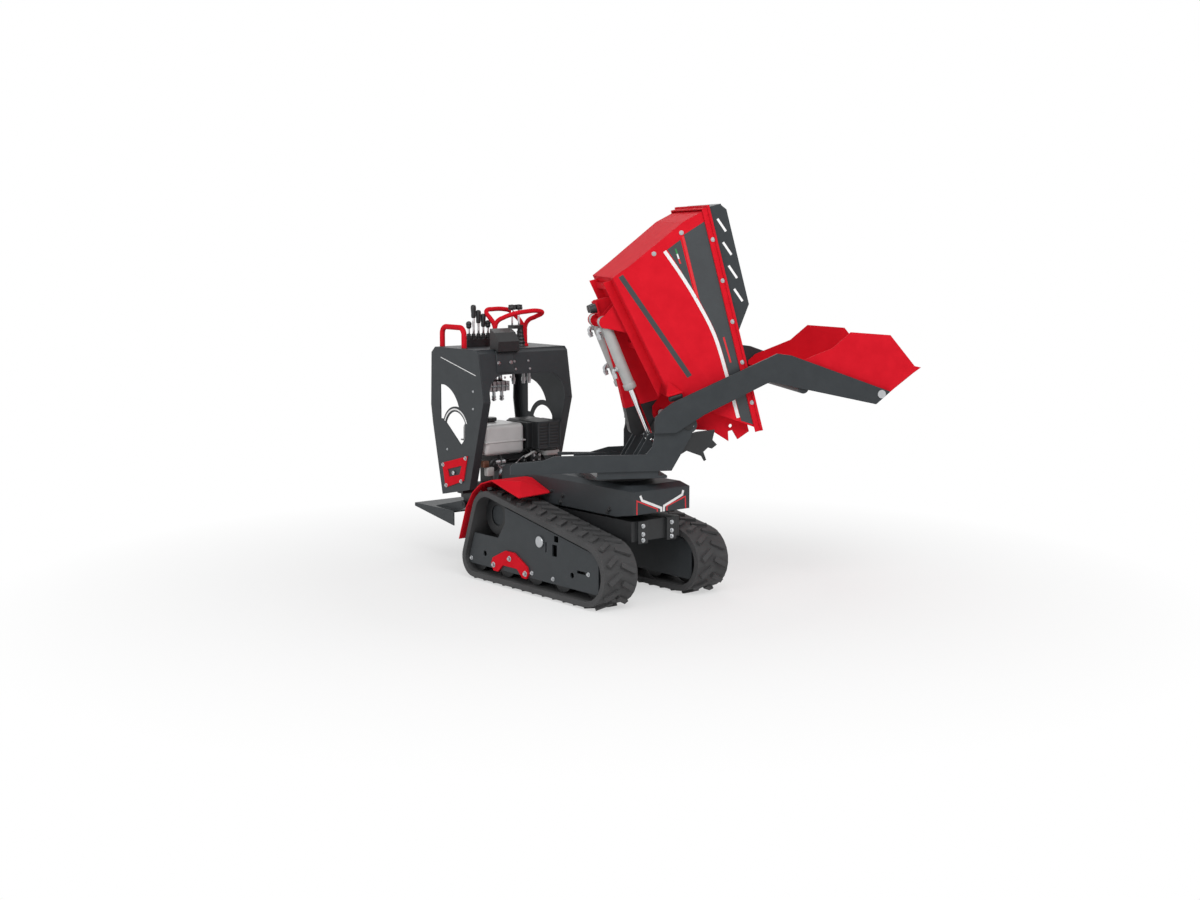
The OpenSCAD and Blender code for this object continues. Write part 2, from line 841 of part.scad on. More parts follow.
// Beam under the floor with the lugs of the tipping rams and a rounded stop at its front
ram_x = -549;
rail_v = 168;
ram_h = -230;
module skip_beam() {
    color(red)
        on_skip() {
            side_plate(-35, 35) {
                polygon([[-650, under_at(-650)], [toe_x, under_at(toe_x)], [-110, -56], [-110, -219],
                         [-300, -215], [-650, -232]]);
            }
            pair()
                for (v = [ram_v - ram_hw - lug_gap - 8, ram_v + ram_hw + lug_gap])
                    side_plate(v, v + 8) {
                        polygon([[-640, under_at(-640)], [-450, under_at(-450)], [ram_x + 30, ram_h],
                                 [ram_x - 30, ram_h]]);
                        translate([ram_x, ram_h])
                            circle(r = 30);
                    }
            cross_bar(ram_x, ram_h, 12, -ram_v - ram_hw - lug_gap - 8, ram_v + ram_hw + lug_gap + 8);
            // Rails along the floor, bevelled at the front
            pair()
                side_plate(rail_v, rail_v + 8)
                    polygon([[-735, under_at(-735)], [-200, under_at(-200)], [-141, -75], [-640, -182],
                             [-735, -200]]);
            // Cross members from rail to rail behind and ahead of the rams
            box([-720, -rail_v, -170], [-690, rail_v, under_at(-720)]);
            box([-420, -rail_v, -125], [-390, rail_v, under_at(-420)]);
            // Pad of the buffers
            box([-645, -52, -237], [-585, 52, -229]);
        }
}
// Black end of the beam, and the rubber buffers at its rear
module skip_stop() {
    color(black)
        on_skip() {
            side_plate(-35, 35) {
                polygon([[-110 + clear, -56], [-60, -120], [0, -150], [0, -222], [-110 + clear, -219]]);
                translate([0, -186])
                    circle(r = 36);
            }
            for (v = [-27, 27])
                translate([-615, v, -237 - clear - 31])
                    cylinder(r1 = 18, r2 = 23, h = 31);
        }
}
module hook_plates() {
    color(red)
        on_skip()
            pair()
                side_plate(hook_v, hook_v + hook_t)
                    difference() {
                        union() {
                            polygon([[front_at(-20) + clear, -20], [0, -44], [40, 20], [74, 123], [147, 191],
                                     [100, 200],
                                     [100, 222], [150, 237], [128, 300], [front_at(300) + clear, 300]]);
                            circle(r = 44);
                        }
                        circle(r = 18 + clear);
                        translate([78, 218])
                            circle(r = 9);
                    }
}

// Tipping rams, drawn along the line between their pins
tip_c = cos(tip_rest);
tip_s = sin(tip_rest);
ram_top = [tip_u + ram_x * tip_c + ram_h * tip_s, tip_z - ram_x * tip_s + ram_h * tip_c];
ram_line = [rod_u - ram_top[0], rod_z - ram_top[1]];
ram_len = norm(ram_line);
ram_angle = atan2(ram_line[0], ram_line[1]);
barrel_len = 345;
rod_len = 375;
module on_ram() {
    on_slew()
        translate([ram_top[0], 0, ram_top[1]])
            rotate([0, ram_angle, 0])
                children();
}
module tip_barrels() {
    color(silver)
        on_ram()
            pair()
                translate([0, ram_v, 0])
                    difference() {
                        union() {
                            translate([0, 0, 26])
                                cylinder(r = 27, h = barrel_len - 26);
                            cross_bar(0, 0, 28, -ram_hw, ram_hw);
                            box([-14, -20, 0], [14, 20, 40]);
                        }
                        translate([0, 0, 60])
                            cylinder(r = 15 + clear, h = barrel_len);
                        cross_bar(0, 0, 12 + clear, -ram_hw - 1, ram_hw + 1);
                    }
}
module tip_rods() {
    color(silver)
        on_ram()
            pair()
                translate([0, ram_v, 0])
                    difference() {
                        union() {
                            translate([0, 0, ram_len - rod_len])
                                cylinder(r = 15, h = rod_len);
                            translate([0, 0, ram_len])
                                cross_bar(0, 0, 28, -ram_hw, ram_hw);
                        }
                        translate([0, 0, ram_len])
                            cross_bar(0, 0, 14, -ram_hw - 1, ram_hw + 1);
                    }
}

// Arms

module arm_outline() {
    polygon([[arm_u - 80, arm_z - 62], [arm_u - 80, arm_z + 13], [arm_u - 39, arm_z + 51],
             [arm_u + 6, arm_z + 82],
             [697, 1183], [765, 1174], [shovel_u + 45, shovel_z + 11], [shovel_u - 26, shovel_z - 49],
             [662, 1050], [346, 902], [arm_u + 20, arm_z - 62]]);
}
// One arm, with a blind bore over its pivot pin
module arm_plate() {
    difference() {
        side_plate(arm_hw - arm_t, arm_hw)
            arm_outline();
        cross_bar(arm_u, arm_z, 24 + clear, arm_hw - arm_t - 1, arm_hw - arm_cap);
        cross_bar(shovel_u, shovel_z, 16 + clear, arm_hw - arm_t - 1, arm_hw + 1);
    }
}
module arm_left() {
    color(dark)
        on_slew()
            arm_plate();
}
module arm_right() {
    color(dark)
        on_slew()
            mirror([0, 1, 0])
                arm_plate();
}
module arm_tube() {
    color(dark)
        on_slew()
            cross_bar(shovel_u - 387, shovel_z + 34, 26, arm_t - arm_hw, arm_hw - arm_t);
}

// Shovel, drawn as it stands

shovel_hw = arm_hw - arm_t - 7;
function by_pin(du, dz) = [shovel_u + du, shovel_z + dz];
lip = by_pin(204, 123);
crotch = by_pin(-12, -43);
chute = by_pin(-468, 92);
crest_rear = by_pin(-152, 296);
crest_front = by_pin(46, 280);
module shovel_side() {
    on_slew() {
        side_plate(shovel_hw - shovel_t, shovel_hw)
            difference() {
                polygon([chute, [chute[0], chute[1] + 25], by_pin(-430, 150), by_pin(-243, 221), crest_rear,
                         crest_front, by_pin(173, 129), lip, by_pin(133, 74), crotch]);
                translate([shovel_u, shovel_z])
                    circle(r = 16 + clear);
            }
    }
}
module shovel_side_left() {
    color(red)
        shovel_side();
}
module shovel_side_right() {
    color(red)
        on_slew()
            mirror([0, 1, 0])
                rotate([0, 0, -slew_rest])
                    translate([-slew_x, 0, 0])
                        shovel_side();
}
module shovel_floor() {
    w = shovel_hw - shovel_t;
    color(red)
        on_slew()
            side_plate(-w, w)
                polygon([chute, [chute[0], chute[1] + shovel_t], [crotch[0] - 1, crotch[1] + shovel_t + 2],
                         [lip[0] - 8, lip[1] + 2], lip, crotch]);
}
module shovel_pins() {
    color(silver)
        on_slew()
            pair() {
                cross_bar(shovel_u, shovel_z, 16, shovel_hw - shovel_t - 10, arm_hw + 3);
                cross_bar(shovel_u, shovel_z, 20, arm_hw + clear, arm_hw + 4);
            }
}

chassis_frame();
hood();
rear_cover();
slew_base();
track_right();
track_left();
track_frame_right();
track_frame_left();
sprockets();
idlers();
rollers();
rockers();
fender_right();
fender_left();
console_side_right();
console_side_left();
console_top();
badges();
control_box();
valve_block();
lever_bank();
grab_handle();
handlebars();
drive_levers();
engine_block();
fuel_tank();
muffler();
carburettor();
platform_bracket();
platform();
turntable();
subframe();
skip_pins();
skip_floor();
skip_rear();
skip_front();
skip_side_right();
skip_side_left();
skip_rim();
sideboard();
skip_beam();
skip_stop();
hook_plates();
tip_barrels();
tip_rods();
arm_right();
arm_left();
arm_tube();
shovel_floor();
shovel_side_right();
shovel_side_left();
shovel_pins();
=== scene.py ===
from math import cos, radians, sin

import bmesh
import bpy
from mathutils import Matrix, Vector


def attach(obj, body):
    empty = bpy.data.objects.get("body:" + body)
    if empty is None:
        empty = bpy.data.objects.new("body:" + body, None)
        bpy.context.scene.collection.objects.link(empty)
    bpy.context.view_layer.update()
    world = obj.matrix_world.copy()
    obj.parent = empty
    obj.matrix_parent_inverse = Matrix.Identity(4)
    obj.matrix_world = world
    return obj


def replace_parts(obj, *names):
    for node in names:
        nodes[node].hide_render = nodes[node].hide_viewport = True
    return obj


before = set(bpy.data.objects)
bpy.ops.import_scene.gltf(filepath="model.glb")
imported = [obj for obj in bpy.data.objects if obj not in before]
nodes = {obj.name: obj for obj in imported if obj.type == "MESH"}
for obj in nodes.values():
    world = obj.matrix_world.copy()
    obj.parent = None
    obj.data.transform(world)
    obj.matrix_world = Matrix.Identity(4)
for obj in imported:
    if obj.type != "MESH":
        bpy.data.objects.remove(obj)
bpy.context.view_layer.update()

mm = 0.001

# the upper frame stands slewed to the left, with the skip tipped on it
slewX = 0.175
slewAngle = radians(62)
tipPoint = (0.271, 0.854)
tipAngle = radians(75.5)

slewFrame = Matrix.Translation((slewX, 0, 0)) @ Matrix.Rotation(slewAngle, 4, "Z")
skipFrame = slewFrame @ Matrix.Translation((tipPoint[0], 0, tipPoint[1])) @ Matrix.Rotation(tipAngle, 4, "Y")


# materials

def nodeIn(tree, kind, x, y, **values):
    n = tree.nodes.new(kind)
    n.location = (x, y)
    for key, v in values.items():
        if key in n.inputs:
            n.inputs[key].default_value = v
        else:
            setattr(n, key, v)
    return n


def linear(hexColour):
    rgb = [int(hexColour[i:i + 2], 16) / 255 for i in (1, 3, 5)]
    return [c / 12.92 if c <= 0.04045 else ((c + 0.055) / 1.055) ** 2.4 for c in rgb] + [1]


# how far the painted highlight on sharp edges reaches and how pale it shows, and how the gloss varies
paintedEdgeHighlight = {"radius": 0.004, "flat": 0.97, "sharp": 0.80, "most": 0.35}
gloss = {"coat": 0.12, "swing": 0.07, "least": 0.03}


# paint, rubber, plastic and metal share one build: two shades mixed by cloudy noise,
# a second fine noise for roughness and bump, and paler sharp edges where asked, a painted highlight
def surface(name, shade, spots, rough, metal=0, coat=0, fine=900, bump=0.1, edge=None, blend=0.35, clouds=14,
            shine=0.5):
    m = bpy.data.materials.new(name)
    m.use_nodes = True
    t = m.node_tree
    bsdf = t.nodes["Principled BSDF"]
    bsdf.inputs["Metallic"].default_value = metal
    bsdf.inputs["Coat Weight"].default_value = coat
    bsdf.inputs["Specular IOR Level"].default_value = shine
    bsdf.inputs["Coat Roughness"].default_value = gloss["coat"]
    where = nodeIn(t, "ShaderNodeTexCoord", -1100, 0)
    cloud = nodeIn(t, "ShaderNodeTexNoise", -900, 200, Scale=clouds, Detail=4.0, Roughness=0.6)
    grain = nodeIn(t, "ShaderNodeTexNoise", -900, -150, Scale=fine, Detail=2.0)
    t.links.new(where.outputs["Object"], cloud.inputs["Vector"])
    t.links.new(where.outputs["Object"], grain.inputs["Vector"])
    span = nodeIn(t, "ShaderNodeMapRange", -700, 200)
    span.inputs["From Min"].default_value = 0.5 - blend / 2
    span.inputs["From Max"].default_value = 0.5 + blend / 2
    t.links.new(cloud.outputs["Fac"], span.inputs["Value"])
    mix = nodeIn(t, "ShaderNodeMix", -500, 200, data_type="RGBA")
    sockets = [s for s in mix.inputs if s.type == "RGBA"]
    sockets[0].default_value = linear(shade)
    sockets[1].default_value = linear(spots)
    t.links.new(span.outputs["Result"], mix.inputs["Factor"])
    colour = [s for s in mix.outputs if s.type == "RGBA"][0]
    # where an edge colour is given, sharp edges turn paler: a painted highlight for the light that the
    # rounded edges catch
    if edge:
        roundedEdges = nodeIn(t, "ShaderNodeBevel", -900, -420, samples=4, Radius=paintedEdgeHighlight["radius"])
        face = nodeIn(t, "ShaderNodeNewGeometry", -900, -600)
        dot = nodeIn(t, "ShaderNodeVectorMath", -700, -450, operation="DOT_PRODUCT")
        t.links.new(roundedEdges.outputs["Normal"], dot.inputs[0])
        t.links.new(face.outputs["Normal"], dot.inputs[1])
        highlightAmount = nodeIn(t, "ShaderNodeMapRange", -500, -450)
        highlightAmount.inputs["From Min"].default_value = paintedEdgeHighlight["flat"]
        highlightAmount.inputs["From Max"].default_value = paintedEdgeHighlight["sharp"]
        highlightAmount.inputs["To Max"].default_value = paintedEdgeHighlight["most"]
        t.links.new(dot.outputs["Value"], highlightAmount.inputs["Value"])
        edgeHighlightMix = nodeIn(t, "ShaderNodeMix", -300, 200, data_type="RGBA")
        ends = [s for s in edgeHighlightMix.inputs if s.type == "RGBA"]
        t.links.new(colour, ends[0])
        ends[1].default_value = linear(edge)
        t.links.new(highlightAmount.outputs["Result"], edgeHighlightMix.inputs["Factor"])
        colour = [s for s in edgeHighlightMix.outputs if s.type == "RGBA"][0]
    t.links.new(colour, bsdf.inputs["Base Color"])
    sheen = nodeIn(t, "ShaderNodeMapRange", -700, -150)
    sheen.inputs["To Min"].default_value = max(rough - gloss["swing"], gloss["least"])
    sheen.inputs["To Max"].default_value = rough + gloss["swing"]
    t.links.new(grain.outputs["Fac"], sheen.inputs["Value"])
    t.links.new(sheen.outputs["Result"], bsdf.inputs["Roughness"])
    relief = nodeIn(t, "ShaderNodeBump", -300, -250, Strength=bump, Distance=mm)
    t.links.new(grain.outputs["Fac"], relief.inputs["Height"])
    if edge:
        t.links.new(roundedEdges.outputs["Normal"], relief.inputs["Normal"])
    t.links.new(relief.outputs["Normal"], bsdf.inputs["Normal"])
    return m


# each edge colour below is a paler tint painted on sharp edges as a painted highlight
redPaint = surface("redPaint", "#dc1f2d", "#d31b29", 0.55, fine=700, bump=0.04, edge="#e8404c", shine=0.02)
greyPaint = surface("greyPaint", "#35393c", "#303437", 0.5, fine=1400, bump=0.12, edge="#555a5e", shine=0.3)
blackSteel = surface("blackSteel", "#1f2123", "#191a1c", 0.5, fine=1200, bump=0.15, edge="#3a3d40")
blackPlastic = surface("blackPlastic", "#222426", "#1b1c1e", 0.42, fine=1100, bump=0.2)
trackRubber = surface("trackRubber", "#454546", "#3c3c3d", 0.78, fine=1600, bump=0.35, edge="#555556",
                      clouds=9)
zincSteel = surface("zincSteel", "#c2c4c6", "#aeb1b4", 0.3, metal=1, fine=600, bump=0.05)
barrelGrey = surface("barrelGrey", "#b0b1b0", "#a5a6a5", 0.35, fine=900, bump=0.05, coat=0.2)
rodChrome = surface("rodChrome", "#e6e8ea", "#dcdee0", 0.08, metal=1, fine=300, bump=0.01)
tankPlastic = surface("tankPlastic", "#c6c7c7", "#bfc0c0", 0.35, fine=500, bump=0.05, coat=0.15)
whiteInk = surface("whiteInk", "#f2f2f2", "#eaeaea", 0.35, fine=500, bump=0.02)
redInk = surface("redInk", "#e0252f", "#d8202b", 0.35, fine=500, bump=0.02)
bronze = surface("bronze", "#6f4c3c", "#624234", 0.4, metal=0.4, fine=600, bump=0.05)
greenInk = surface("greenInk", "#2f8f4a", "#2a8644", 0.4, fine=500, bump=0.02)
greyInk = surface("greyInk", "#3a3e41", "#36393c", 0.4, fine=700, bump=0.04)
print("materials made")

nodeFinish = {
    "redPaint": ["rockers", "fender_right", "fender_left", "badges", "grab_handle", "handlebars",
                 "skip_floor", "skip_rear", "skip_front", "skip_side_right", "skip_side_left", "skip_rim",
                 "skip_beam", "hook_plates", "shovel_floor", "shovel_side_right", "shovel_side_left"],
    "greyPaint": ["hood", "rear_cover", "track_frame_right", "track_frame_left",
                  "console_side_right", "console_side_left", "console_top", "platform_bracket",
                  "platform", "subframe", "sideboard", "arm_right", "arm_left", "arm_tube"],
    # chassis_frame takes the black steel as painted shade: the frame under the hood front is darkened to
    # stand for the shadow there
    "blackSteel": ["chassis_frame", "slew_base", "sprockets", "idlers", "rollers", "engine_block",
                   "muffler", "turntable"],
    "blackPlastic": ["control_box", "lever_bank", "drive_levers", "skip_stop"],
    "trackRubber": ["track_right", "track_left"],
    "zincSteel": ["valve_block", "carburettor", "skip_pins", "shovel_pins"],
    "barrelGrey": ["tip_barrels"],
    "rodChrome": ["tip_rods"],
    "tankPlastic": ["fuel_tank"],
}
for finish, names in nodeFinish.items():
    for n in names:
        slots = nodes[n].data.materials
        slots.clear()
        slots.append(bpy.data.materials[finish])
print("nodes painted")


# tools of the bench

def onChassis(x, y, z):
    return Vector((x, y, z)) * mm


def onSlew(u, v, z):
    return slewFrame @ (Vector((u, v, z)) * mm)


def onSkip(x, v, h):
    return skipFrame @ (Vector((x, v, h)) * mm)


def slewWay(u, v, z):
    return (slewFrame.to_3x3() @ Vector((u, v, z))).normalized()


def skipWay(x, v, h):
    return (skipFrame.to_3x3() @ Vector((x, v, h))).normalized()


def facing(point, way):
    return Matrix.Translation(point) @ way.to_track_quat("Z", "Y").to_matrix().to_4x4()


def letGo():
    bpy.ops.object.select_all(action="DESELECT")


def holdOnly(obj):
    letGo()
    obj.select_set(True)
    bpy.context.view_layer.objects.active = obj


def joined(objs):
    letGo()
    for o in objs:
        o.select_set(True)
    bpy.context.view_layer.objects.active = objs[0]
    if len(objs) > 1:
        bpy.ops.object.join()
    return bpy.context.view_layer.objects.active


def fasten(obj, name, finish, body, smooth=35):
    holdOnly(obj)
    bpy.ops.object.transform_apply(location=True, rotation=True, scale=True)
    if smooth:
        bpy.ops.object.shade_smooth_by_angle(angle=radians(smooth))
    obj.name = name
    obj.data.name = name
    obj.data.materials.clear()
    obj.data.materials.append(finish)
    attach(obj, body)
    return obj


def pickFaces(obj, test):
    bpy.ops.mesh.select_mode(type="FACE")
    bpy.ops.mesh.select_all(action="DESELECT")
    shape = bmesh.from_edit_mesh(obj.data)
    for f in shape.faces:
        f.select_set(bool(test(f)))
    bmesh.update_edit_mesh(obj.data)


def squareUp(obj):
    bpy.ops.mesh.select_all(action="SELECT")
    bpy.ops.mesh.normals_make_consistent(inside=False)
    bpy.ops.object.mode_set(mode="OBJECT")
    return obj


# a block between two corners, its edges rounded
def block(low, high, round=3, steps=2):
    letGo()
    size = [b - a for a, b in zip(low, high)]
    bpy.ops.mesh.primitive_cube_add(size=1, location=[(a + b) / 2 * mm for a, b in zip(low, high)])
    obj = bpy.context.object
    obj.scale = [s * mm for s in size]
    bpy.ops.object.transform_apply(location=True, rotation=True, scale=True)
    bpy.ops.object.mode_set(mode="EDIT")
    bpy.ops.mesh.select_all(action="SELECT")
    bpy.ops.mesh.bevel(offset=round * mm, segments=steps, affect="EDGES")
    return squareUp(obj)


# a closed round form along z, ring by ring, each ring a radius and a height
def turned(rings, sides=24):
    letGo()
    r, z = rings[0]
    bpy.ops.mesh.primitive_circle_add(vertices=sides, radius=r * mm, fill_type="NGON",
                                      location=(0, 0, z * mm))
    obj = bpy.context.object
    bpy.ops.object.transform_apply(location=True, rotation=True, scale=True)
    bpy.ops.object.mode_set(mode="EDIT")
    bpy.ops.mesh.select_all(action="SELECT")
    for nextR, nextZ in rings[1:]:
        bpy.ops.mesh.extrude_region_move(TRANSFORM_OT_translate={"value": (0, 0, (nextZ - z) * mm)})
        bpy.ops.transform.resize(value=(nextR / r, nextR / r, 1), center_override=(0, 0, nextZ * mm))
        r, z = nextR, nextZ
    return squareUp(obj)


def stood(obj, point, way):
    obj.matrix_world = facing(point, way)
    return obj


def copied(model, place):
    copy = model.copy()
    copy.data = model.data.copy()
    bpy.context.collection.objects.link(copy)
    copy.matrix_world = place
    return copy


def thrownAway(obj):
    holdOnly(obj)
    bpy.ops.object.delete()


# a copy of the model at each place, the model itself not kept
def repeated(model, places):
    copies = [copied(model, place) for place in places]
    thrownAway(model)
    return copies


# a turned piece at its own place on the chassis
def standing(spec, way, sides=24):
    return stood(turned(spec["rings"], sides), onChassis(*spec["at"]), way)


# one of it on each side of the chassis, facing out
def standingPair(spec, sides):
    x, y, z = spec["at"]
    return joined(repeated(turned(spec["rings"], sides),
                           [facing(onChassis(x, s * y, z), Vector((0, s, 0))) for s in (-1, 1)]))


# a flat sheet from its corners, pushed to a thickness
def sheetFrom(corners, push):
    letGo()
    bpy.ops.mesh.primitive_circle_add(vertices=len(corners), radius=0.1, fill_type="NGON")
    obj = bpy.context.object
    for corner, v in zip(corners, obj.data.vertices):
        v.co = corner
    bpy.ops.object.mode_set(mode="EDIT")
    bpy.ops.mesh.select_all(action="SELECT")
    bpy.ops.mesh.extrude_region_move(TRANSFORM_OT_translate={"value": push})
    return squareUp(obj)


doubleGap = 0.00002  # points nearer than this are merged


# a bent pipe through its points
def pipe(points, radius, sides=3, smooth=6):
    letGo()
    bpy.ops.curve.primitive_bezier_curve_add(location=(0, 0, 0))
    run = bpy.context.object
    run.data.dimensions = "3D"
    line = run.data.splines[0]
    line.bezier_points.add(len(points) - 2)
    for knot, point in zip(line.bezier_points, points):
        knot.co = point
        knot.handle_left_type = "AUTO"
        knot.handle_right_type = "AUTO"
    run.data.resolution_u = smooth
    run.data.bevel_depth = radius * mm
    run.data.bevel_resolution = sides
    run.data.use_fill_caps = True
    bpy.ops.object.convert(target="MESH")
    obj = bpy.context.object
    bpy.ops.object.mode_set(mode="EDIT")
    bpy.ops.mesh.select_all(action="SELECT")
    bpy.ops.mesh.remove_doubles(threshold=doubleGap)
    return squareUp(obj)


def chassisPipe(points, radius, *detail):
    return pipe([onChassis(*p) for p in points], radius, *detail)


# the outline of a line drawn at a width, in its own plane
def stroke(line, width):
    left, right = [], []
    for k, p in enumerate(line):
        a = Vector(line[max(k - 1, 0)])
        b = Vector(line[min(k + 1, len(line) - 1)])
        here = Vector(p)
        before = (here - a).normalized() if k > 0 else (b - here).normalized()
        after = (b - here).normalized() if k < len(line) - 1 else before
        way = (before + after).normalized()
        side = Vector((-way.y, way.x))
        reach = width / 2 / max(side.dot(Vector((-after.y, after.x))), 0.5)
        left.append(here + side * reach)
        right.append(here - side * reach)
    return left + right[::-1]


# extra points on a smooth line through the given ones
def curved(line, steps=6):
    out = []
    for k in range(len(line) - 1):
        p0, p1 = Vector(line[max(k - 1, 0)]), Vector(line[k])
        p2, p3 = Vector(line[k + 1]), Vector(line[min(k + 2, len(line) - 1)])
        for s in range(steps):
            t = s / steps
            out.append(0.5 * (2 * p1 + (p2 - p0) * t + (2 * p0 - 5 * p1 + 4 * p2 - p3) * t * t
                              + (3 * p1 - p0 - 3 * p2 + p3) * t ** 3))
    return out + [Vector(line[-1])]


# striping of the skip's sides, lying just proud of the paint

skipArt = {"band": [(-896, 311), (-861, 204), (-540, 204)],
           "bandFoot": [(-540, 204), (-366, 243), (-160, 255), (40, 260), (58, 260)],
           "bandEnd": [(90, 311)],
           "sweep": [(-810, 98), (-680, 148), (-538, 193), (-366, 233), (-160, 245), (40, 250)],
           "sweepWide": 16,
           "pin": [(-855, 197), (-560, 197)], "pinWide": 12,
           "wedge": [(-843, 183), (-814, 112), (-700, 152), (-560, 185)],
           "dash": [(-350, 272), (-225, 277)], "dashWide": 8,
           "low": [(-750, -127), (-210, 74)], "lowWide": 24,
           "strip": [(-808, 150), (-783, 152), (-759, 154), (-735, 156)], "stripWide": 7,
           "proud": 0.7, "sunk": 1}

# a side's two faces, either side of the crease that runs up from its rear corner
flank = {"crease": (-786, -75), "creaseRise": 303, "creaseRun": 831.4, "rimV": 303, "rimH": 348,
         "lean": 0.075, "heel": (-751, 249, -164), "along": 0.05611, "rise": 0.22865}


def skipSkin(x, h, side, lift):
    creaseX, creaseH = flank["crease"]
    heelX, heelV, heelH = flank["heel"]
    if h > creaseH + (x - creaseX) * flank["creaseRise"] / flank["creaseRun"]:
        v = flank["rimV"] - flank["lean"] * (flank["rimH"] - h)
    else:
        v = heelV - flank["along"] * (x - heelX) + flank["rise"] * (h - heelH)
    return onSkip(x, side * (v + lift), h)


def skipMark(name, outline, side, lift, finish):
    mark = sheetFrom([skipSkin(p[0], p[1], side, lift) for p in outline],
                     skipWay(0, -side, 0) * (lift + skipArt["sunk"]) * mm)
    return fasten(mark, name, finish, "skip", smooth=0)


for side, hand in ((-1, "Right"), (1, "Left")):
    lift = skipArt["proud"]
    over = 2 * lift
    band = skipArt["band"] + curved(skipArt["bandFoot"])[1:] + skipArt["bandEnd"]
    skipMark("skipBand" + hand, band, side, lift, greyInk)
    skipMark("skipWedge" + hand, skipArt["wedge"], side, lift, greyInk)
    sweep = stroke(curved(skipArt["sweep"]), skipArt["sweepWide"])
    skipMark("skipSweep" + hand, sweep, side, over, whiteInk)
    pin = stroke(skipArt["pin"], skipArt["pinWide"])
    skipMark("skipPin" + hand, pin, side, over, redInk)
    dash = stroke(skipArt["dash"], skipArt["dashWide"])
    skipMark("skipDash" + hand, dash, side, over, redInk)
    for k, (tone, finish) in enumerate((("Green", greenInk), ("White", whiteInk), ("Red", redInk))):
        part = stroke(skipArt["strip"][k:k + 2], skipArt["stripWide"])
        skipMark("skipStrip" + tone + hand, part, side, over, finish)
    low = stroke(skipArt["low"], skipArt["lowWide"])
    skipMark("skipLow" + hand, low, side, lift, greyInk)
print("skip striped")


# striping of the hood's nose

noseArt = {"front": 505, "white": [[(-136, 527), (-124, 503), (-5, 456), (-5, 438)],
                                   [(134, 528), (128, 507), (13, 464), (11, 438)]], "whiteWide": 12,
           "red": [[(-156, 438), (-156, 504), (-29, 453), (-29, 440)],
                   [(31, 440), (31, 462), (147, 496), (151, 438)]], "redWide": 6, "proud": 0.7, "thick": 1.2}
for tone, finish in (("white", whiteInk), ("red", redInk)):
    strips = []
    for line in noseArt[tone]:
        edge = stroke(line, noseArt[tone + "Wide"])
        strips.append(sheetFrom([onChassis(noseArt["front"] + noseArt["proud"], p.x, p.y) for p in edge],
                                (-noseArt["thick"] * mm, 0, 0)))
    fasten(joined(strips), tone + "NoseLines", finish, "chassis",
           smooth=0)
print("nose striped")


# white lines of the console's sides

consoleArt = {"y": 287, "centre": (-800, 730), "radius": 108, "from": 158, "to": 22, "steps": 20,
              "arcWide": 8, "slant": [(-931, 1102), (-614, 1025)], "slantWide": 4,
              "proud": 0.7, "thick": 1.2}
arc = []
for k in range(consoleArt["steps"] + 1):
    turn = radians(consoleArt["from"] + (consoleArt["to"] - consoleArt["from"]) * k / consoleArt["steps"])
    arc.append((consoleArt["centre"][0] + consoleArt["radius"] * cos(turn),
                consoleArt["centre"][1] + consoleArt["radius"] * sin(turn)))
strips = []
for side in (-1, 1):
    y = side * (consoleArt["y"] + consoleArt["proud"])
    for line, wide in ((arc, consoleArt["arcWide"]), (consoleArt["slant"], consoleArt["slantWide"])):
        strips.append(sheetFrom([onChassis(p[0], y, p[1]) for p in stroke(line, wide)],
                                (0, -side * consoleArt["thick"] * mm, 0)))
fasten(joined(strips), "consoleLines", whiteInk, "chassis", smooth=0)
print("console striped")


# one hexagon bolt with its washer, one unit in radius, copied to size wherever one shows

boltHead = {"washer": 1.6, "washerTall": 0.32, "washerSides": 18, "washerEdge": 0.1, "tall": 0.8,
            "inset": 0.14, "crown": 0.12, "facingUp": 0.9}
letGo()
bpy.ops.mesh.primitive_cylinder_add(vertices=6, radius=1, depth=boltHead["tall"],
                                    location=(0, 0, boltHead["washerTall"] + boltHead["tall"] / 2))
bolt = bpy.context.object
bpy.ops.object.transform_apply(location=True, rotation=True, scale=True)
bpy.ops.object.mode_set(mode="EDIT")
pickFaces(bolt, lambda f: f.normal.z > boltHead["facingUp"])
bpy.ops.mesh.inset(thickness=boltHead["inset"])
bpy.ops.transform.translate(value=(0, 0, boltHead["crown"]))
squareUp(bolt)
letGo()
bpy.ops.mesh.primitive_cylinder_add(vertices=boltHead["washerSides"], radius=boltHead["washer"],
                                    depth=boltHead["washerTall"], location=(0, 0, boltHead["washerTall"] / 2))
washer = bpy.context.object
bpy.ops.object.transform_apply(location=True, rotation=True, scale=True)
bpy.ops.object.mode_set(mode="EDIT")
pickFaces(washer, lambda f: f.normal.z > boltHead["facingUp"])
bpy.ops.mesh.bevel(offset=boltHead["washerEdge"], segments=1, affect="EDGES")
squareUp(washer)
bolt = joined([bolt, washer])


def boltSet(name, places, finish, body):
    heads = [copied(bolt, facing(point, way) @ Matrix.Scale(radius * mm, 4)) for point, way, radius in places]
    return fasten(joined(heads), name, finish, body, smooth=25)


down, up = Vector((0, 0, -1)), Vector((0, 0, 1))
right, left = Vector((0, -1, 0)), Vector((0, 1, 0))
ahead = Vector((1, 0, 0))


def bothSides(spec):
    out = []
    for x, z in spec["spots"]:
        out.append((onChassis(x, -spec["y"], z), right, spec["radius"]))
        out.append((onChassis(x, spec["y"], z), left, spec["radius"]))
    return out


